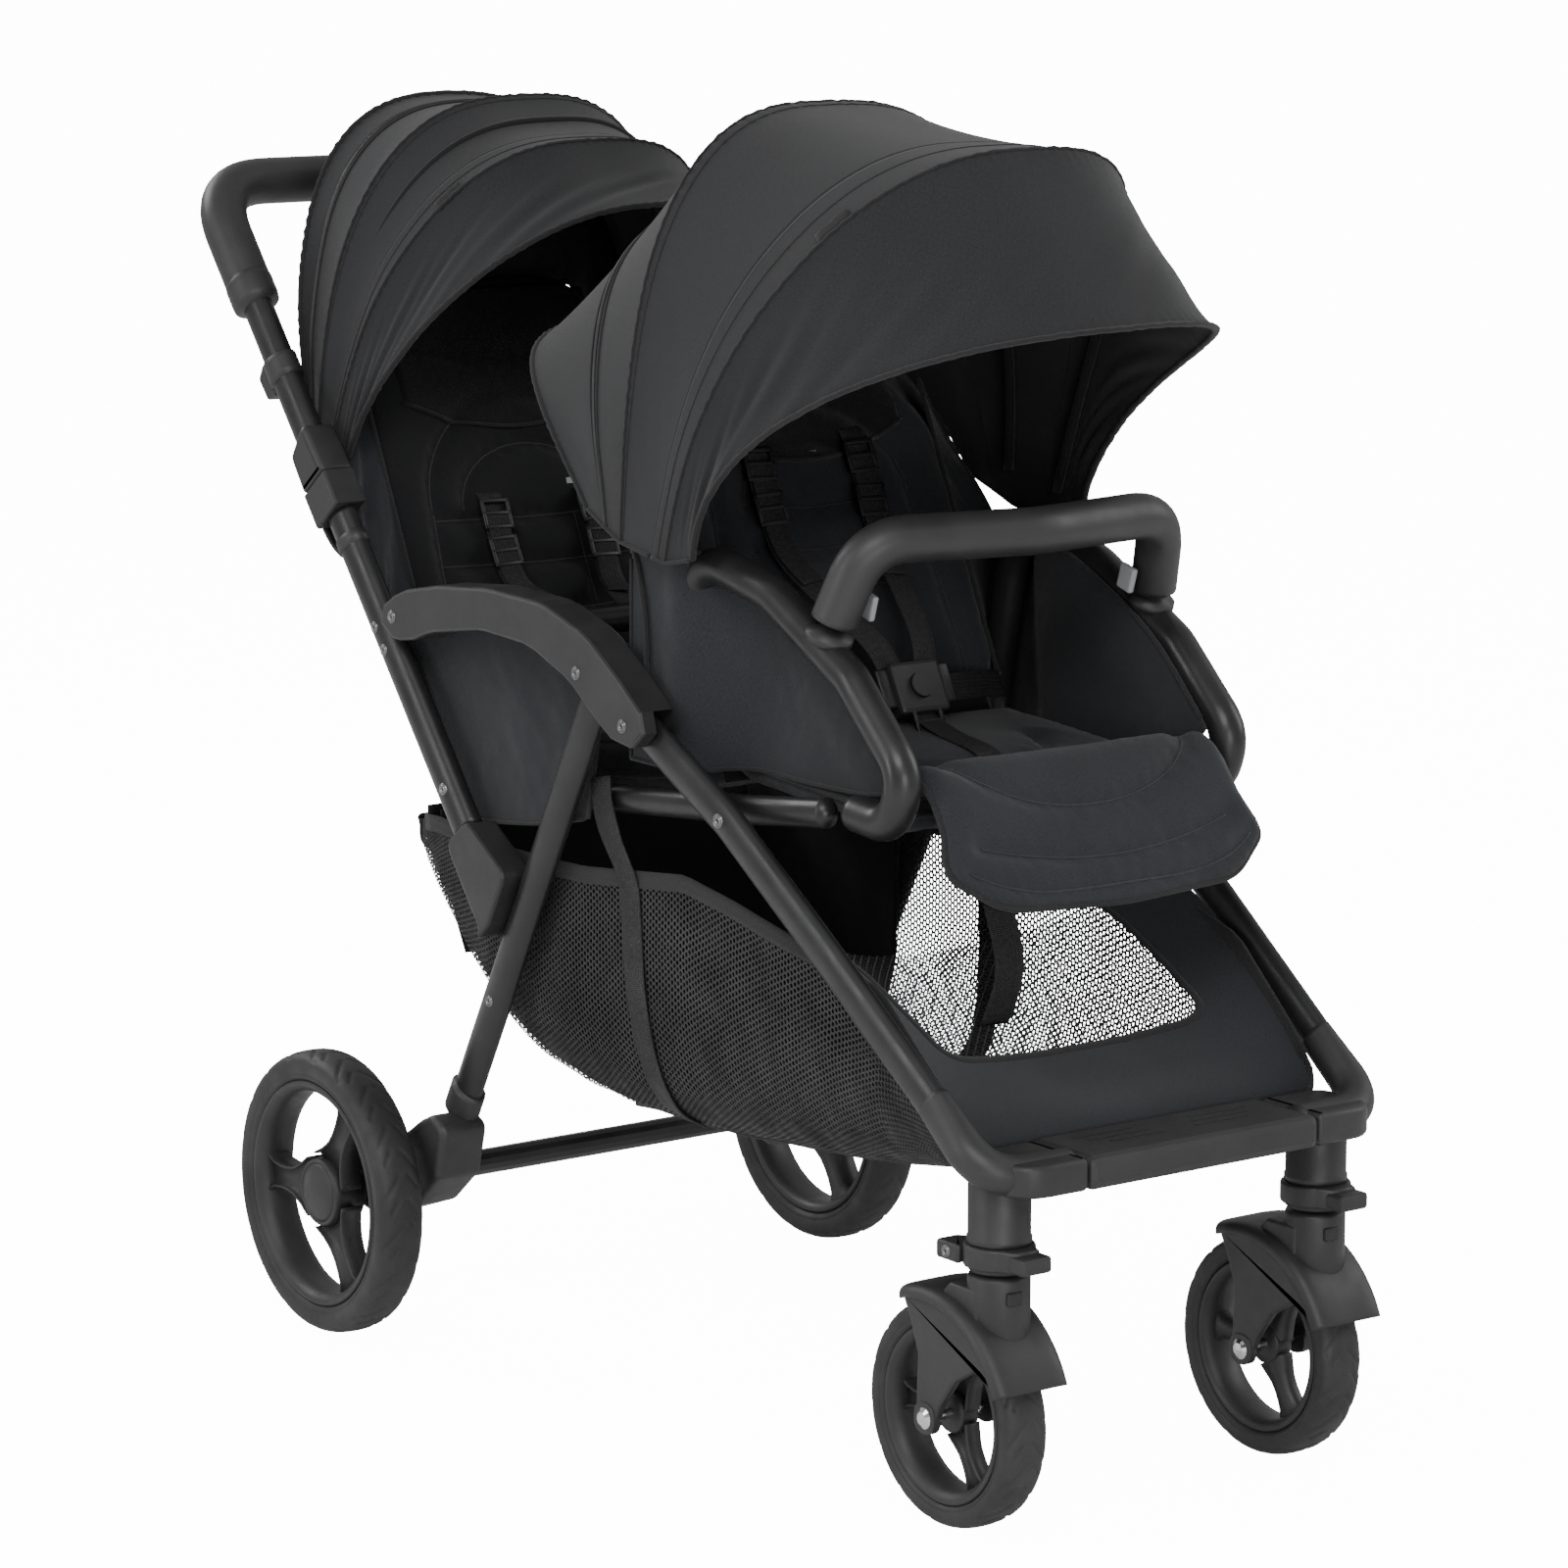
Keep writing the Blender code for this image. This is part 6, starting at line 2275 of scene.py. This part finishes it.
def screw(place, direction, radius):
    """A domed head with a hex socket, set in a shallow rim."""
    direction = unit(direction)
    r = radius
    profile = [
        (0, -0.20), (0.44, -0.20), (0.48, 0.22), (0.66, 0.30), (0.82, 0.26), (0.92, 0.14), (0.96, 0.02),
        (1.12, 0.02), (1.16, 0.10), (1.26, 0.08), (1.30, -0.4)
    ]
    steps = 24
    verts, faces, uvs = lathe_mesh([(a * r, b * r) for a, b in profile], (0, 0, 0), steps)
    verts = verts.reshape(len(profile), steps, 3)
    turn = np.linspace(0, 2 * math.pi, steps, endpoint=False)
    hexagon = math.cos(math.pi / 6) / np.cos((turn % (math.pi / 3)) - math.pi / 6)
    verts[1:3, :, 1:] *= hexagon[None, :, None]
    mesh = cleaned(build("screw", verts.reshape(-1, 3), faces, uvs))
    helper = (0, 0, 1) if abs(direction[2]) < 0.9 else (0, 1, 0)
    mesh.transform(axes(place, direction, helper))
    return mesh


def screws():
    groups = {}
    for side, sign in SIDES.items():
        out = (sign, 0, 0)
        for body, x, places, r in (
            (
                "seat_frame",
                0.2260,
                ((-0.008, 0.638), (-0.0230, 0.6195), (-0.118, 0.5080), (0.0935, 0.7670)),
                0.0042
            ),
            ("seat_frame", 0.2329, ((-0.048, 0.653), (-0.338, 0.640), (-0.406, 0.604)), 0.0046),
            ("rear_legs", 0.2176, ((-0.176, 0.327),), 0.0040),
            ("front_legs", 0.2178, ((-0.522, 0.540),), 0.0048),
        ):
            for place in places:
                groups.setdefault((body, side), []).append(screw(at(sign * x, *place), out, r))
        groups.setdefault(("front_legs", side), []).append(
            screw(at(sign * 0.1962, -0.800, 0.2352), out, 0.0040)
        )
        groups.setdefault((f"caster_{side}", side), []).append(
            screw(at(sign * 0.1924, -0.806, 0.1880), out, 0.0046)
        )
    for (body, side), meshes in groups.items():
        merged(f"{body}_screws_{side}", meshes, STEEL, body)


stage()
carried_over()
wheels()
tubes()
screws()
front_canopy, rear_canopy = canopies()
seat_tops = pads()
side_panels()
canopy_backs(front_canopy, rear_canopy)
harness(seat_tops)
basket()
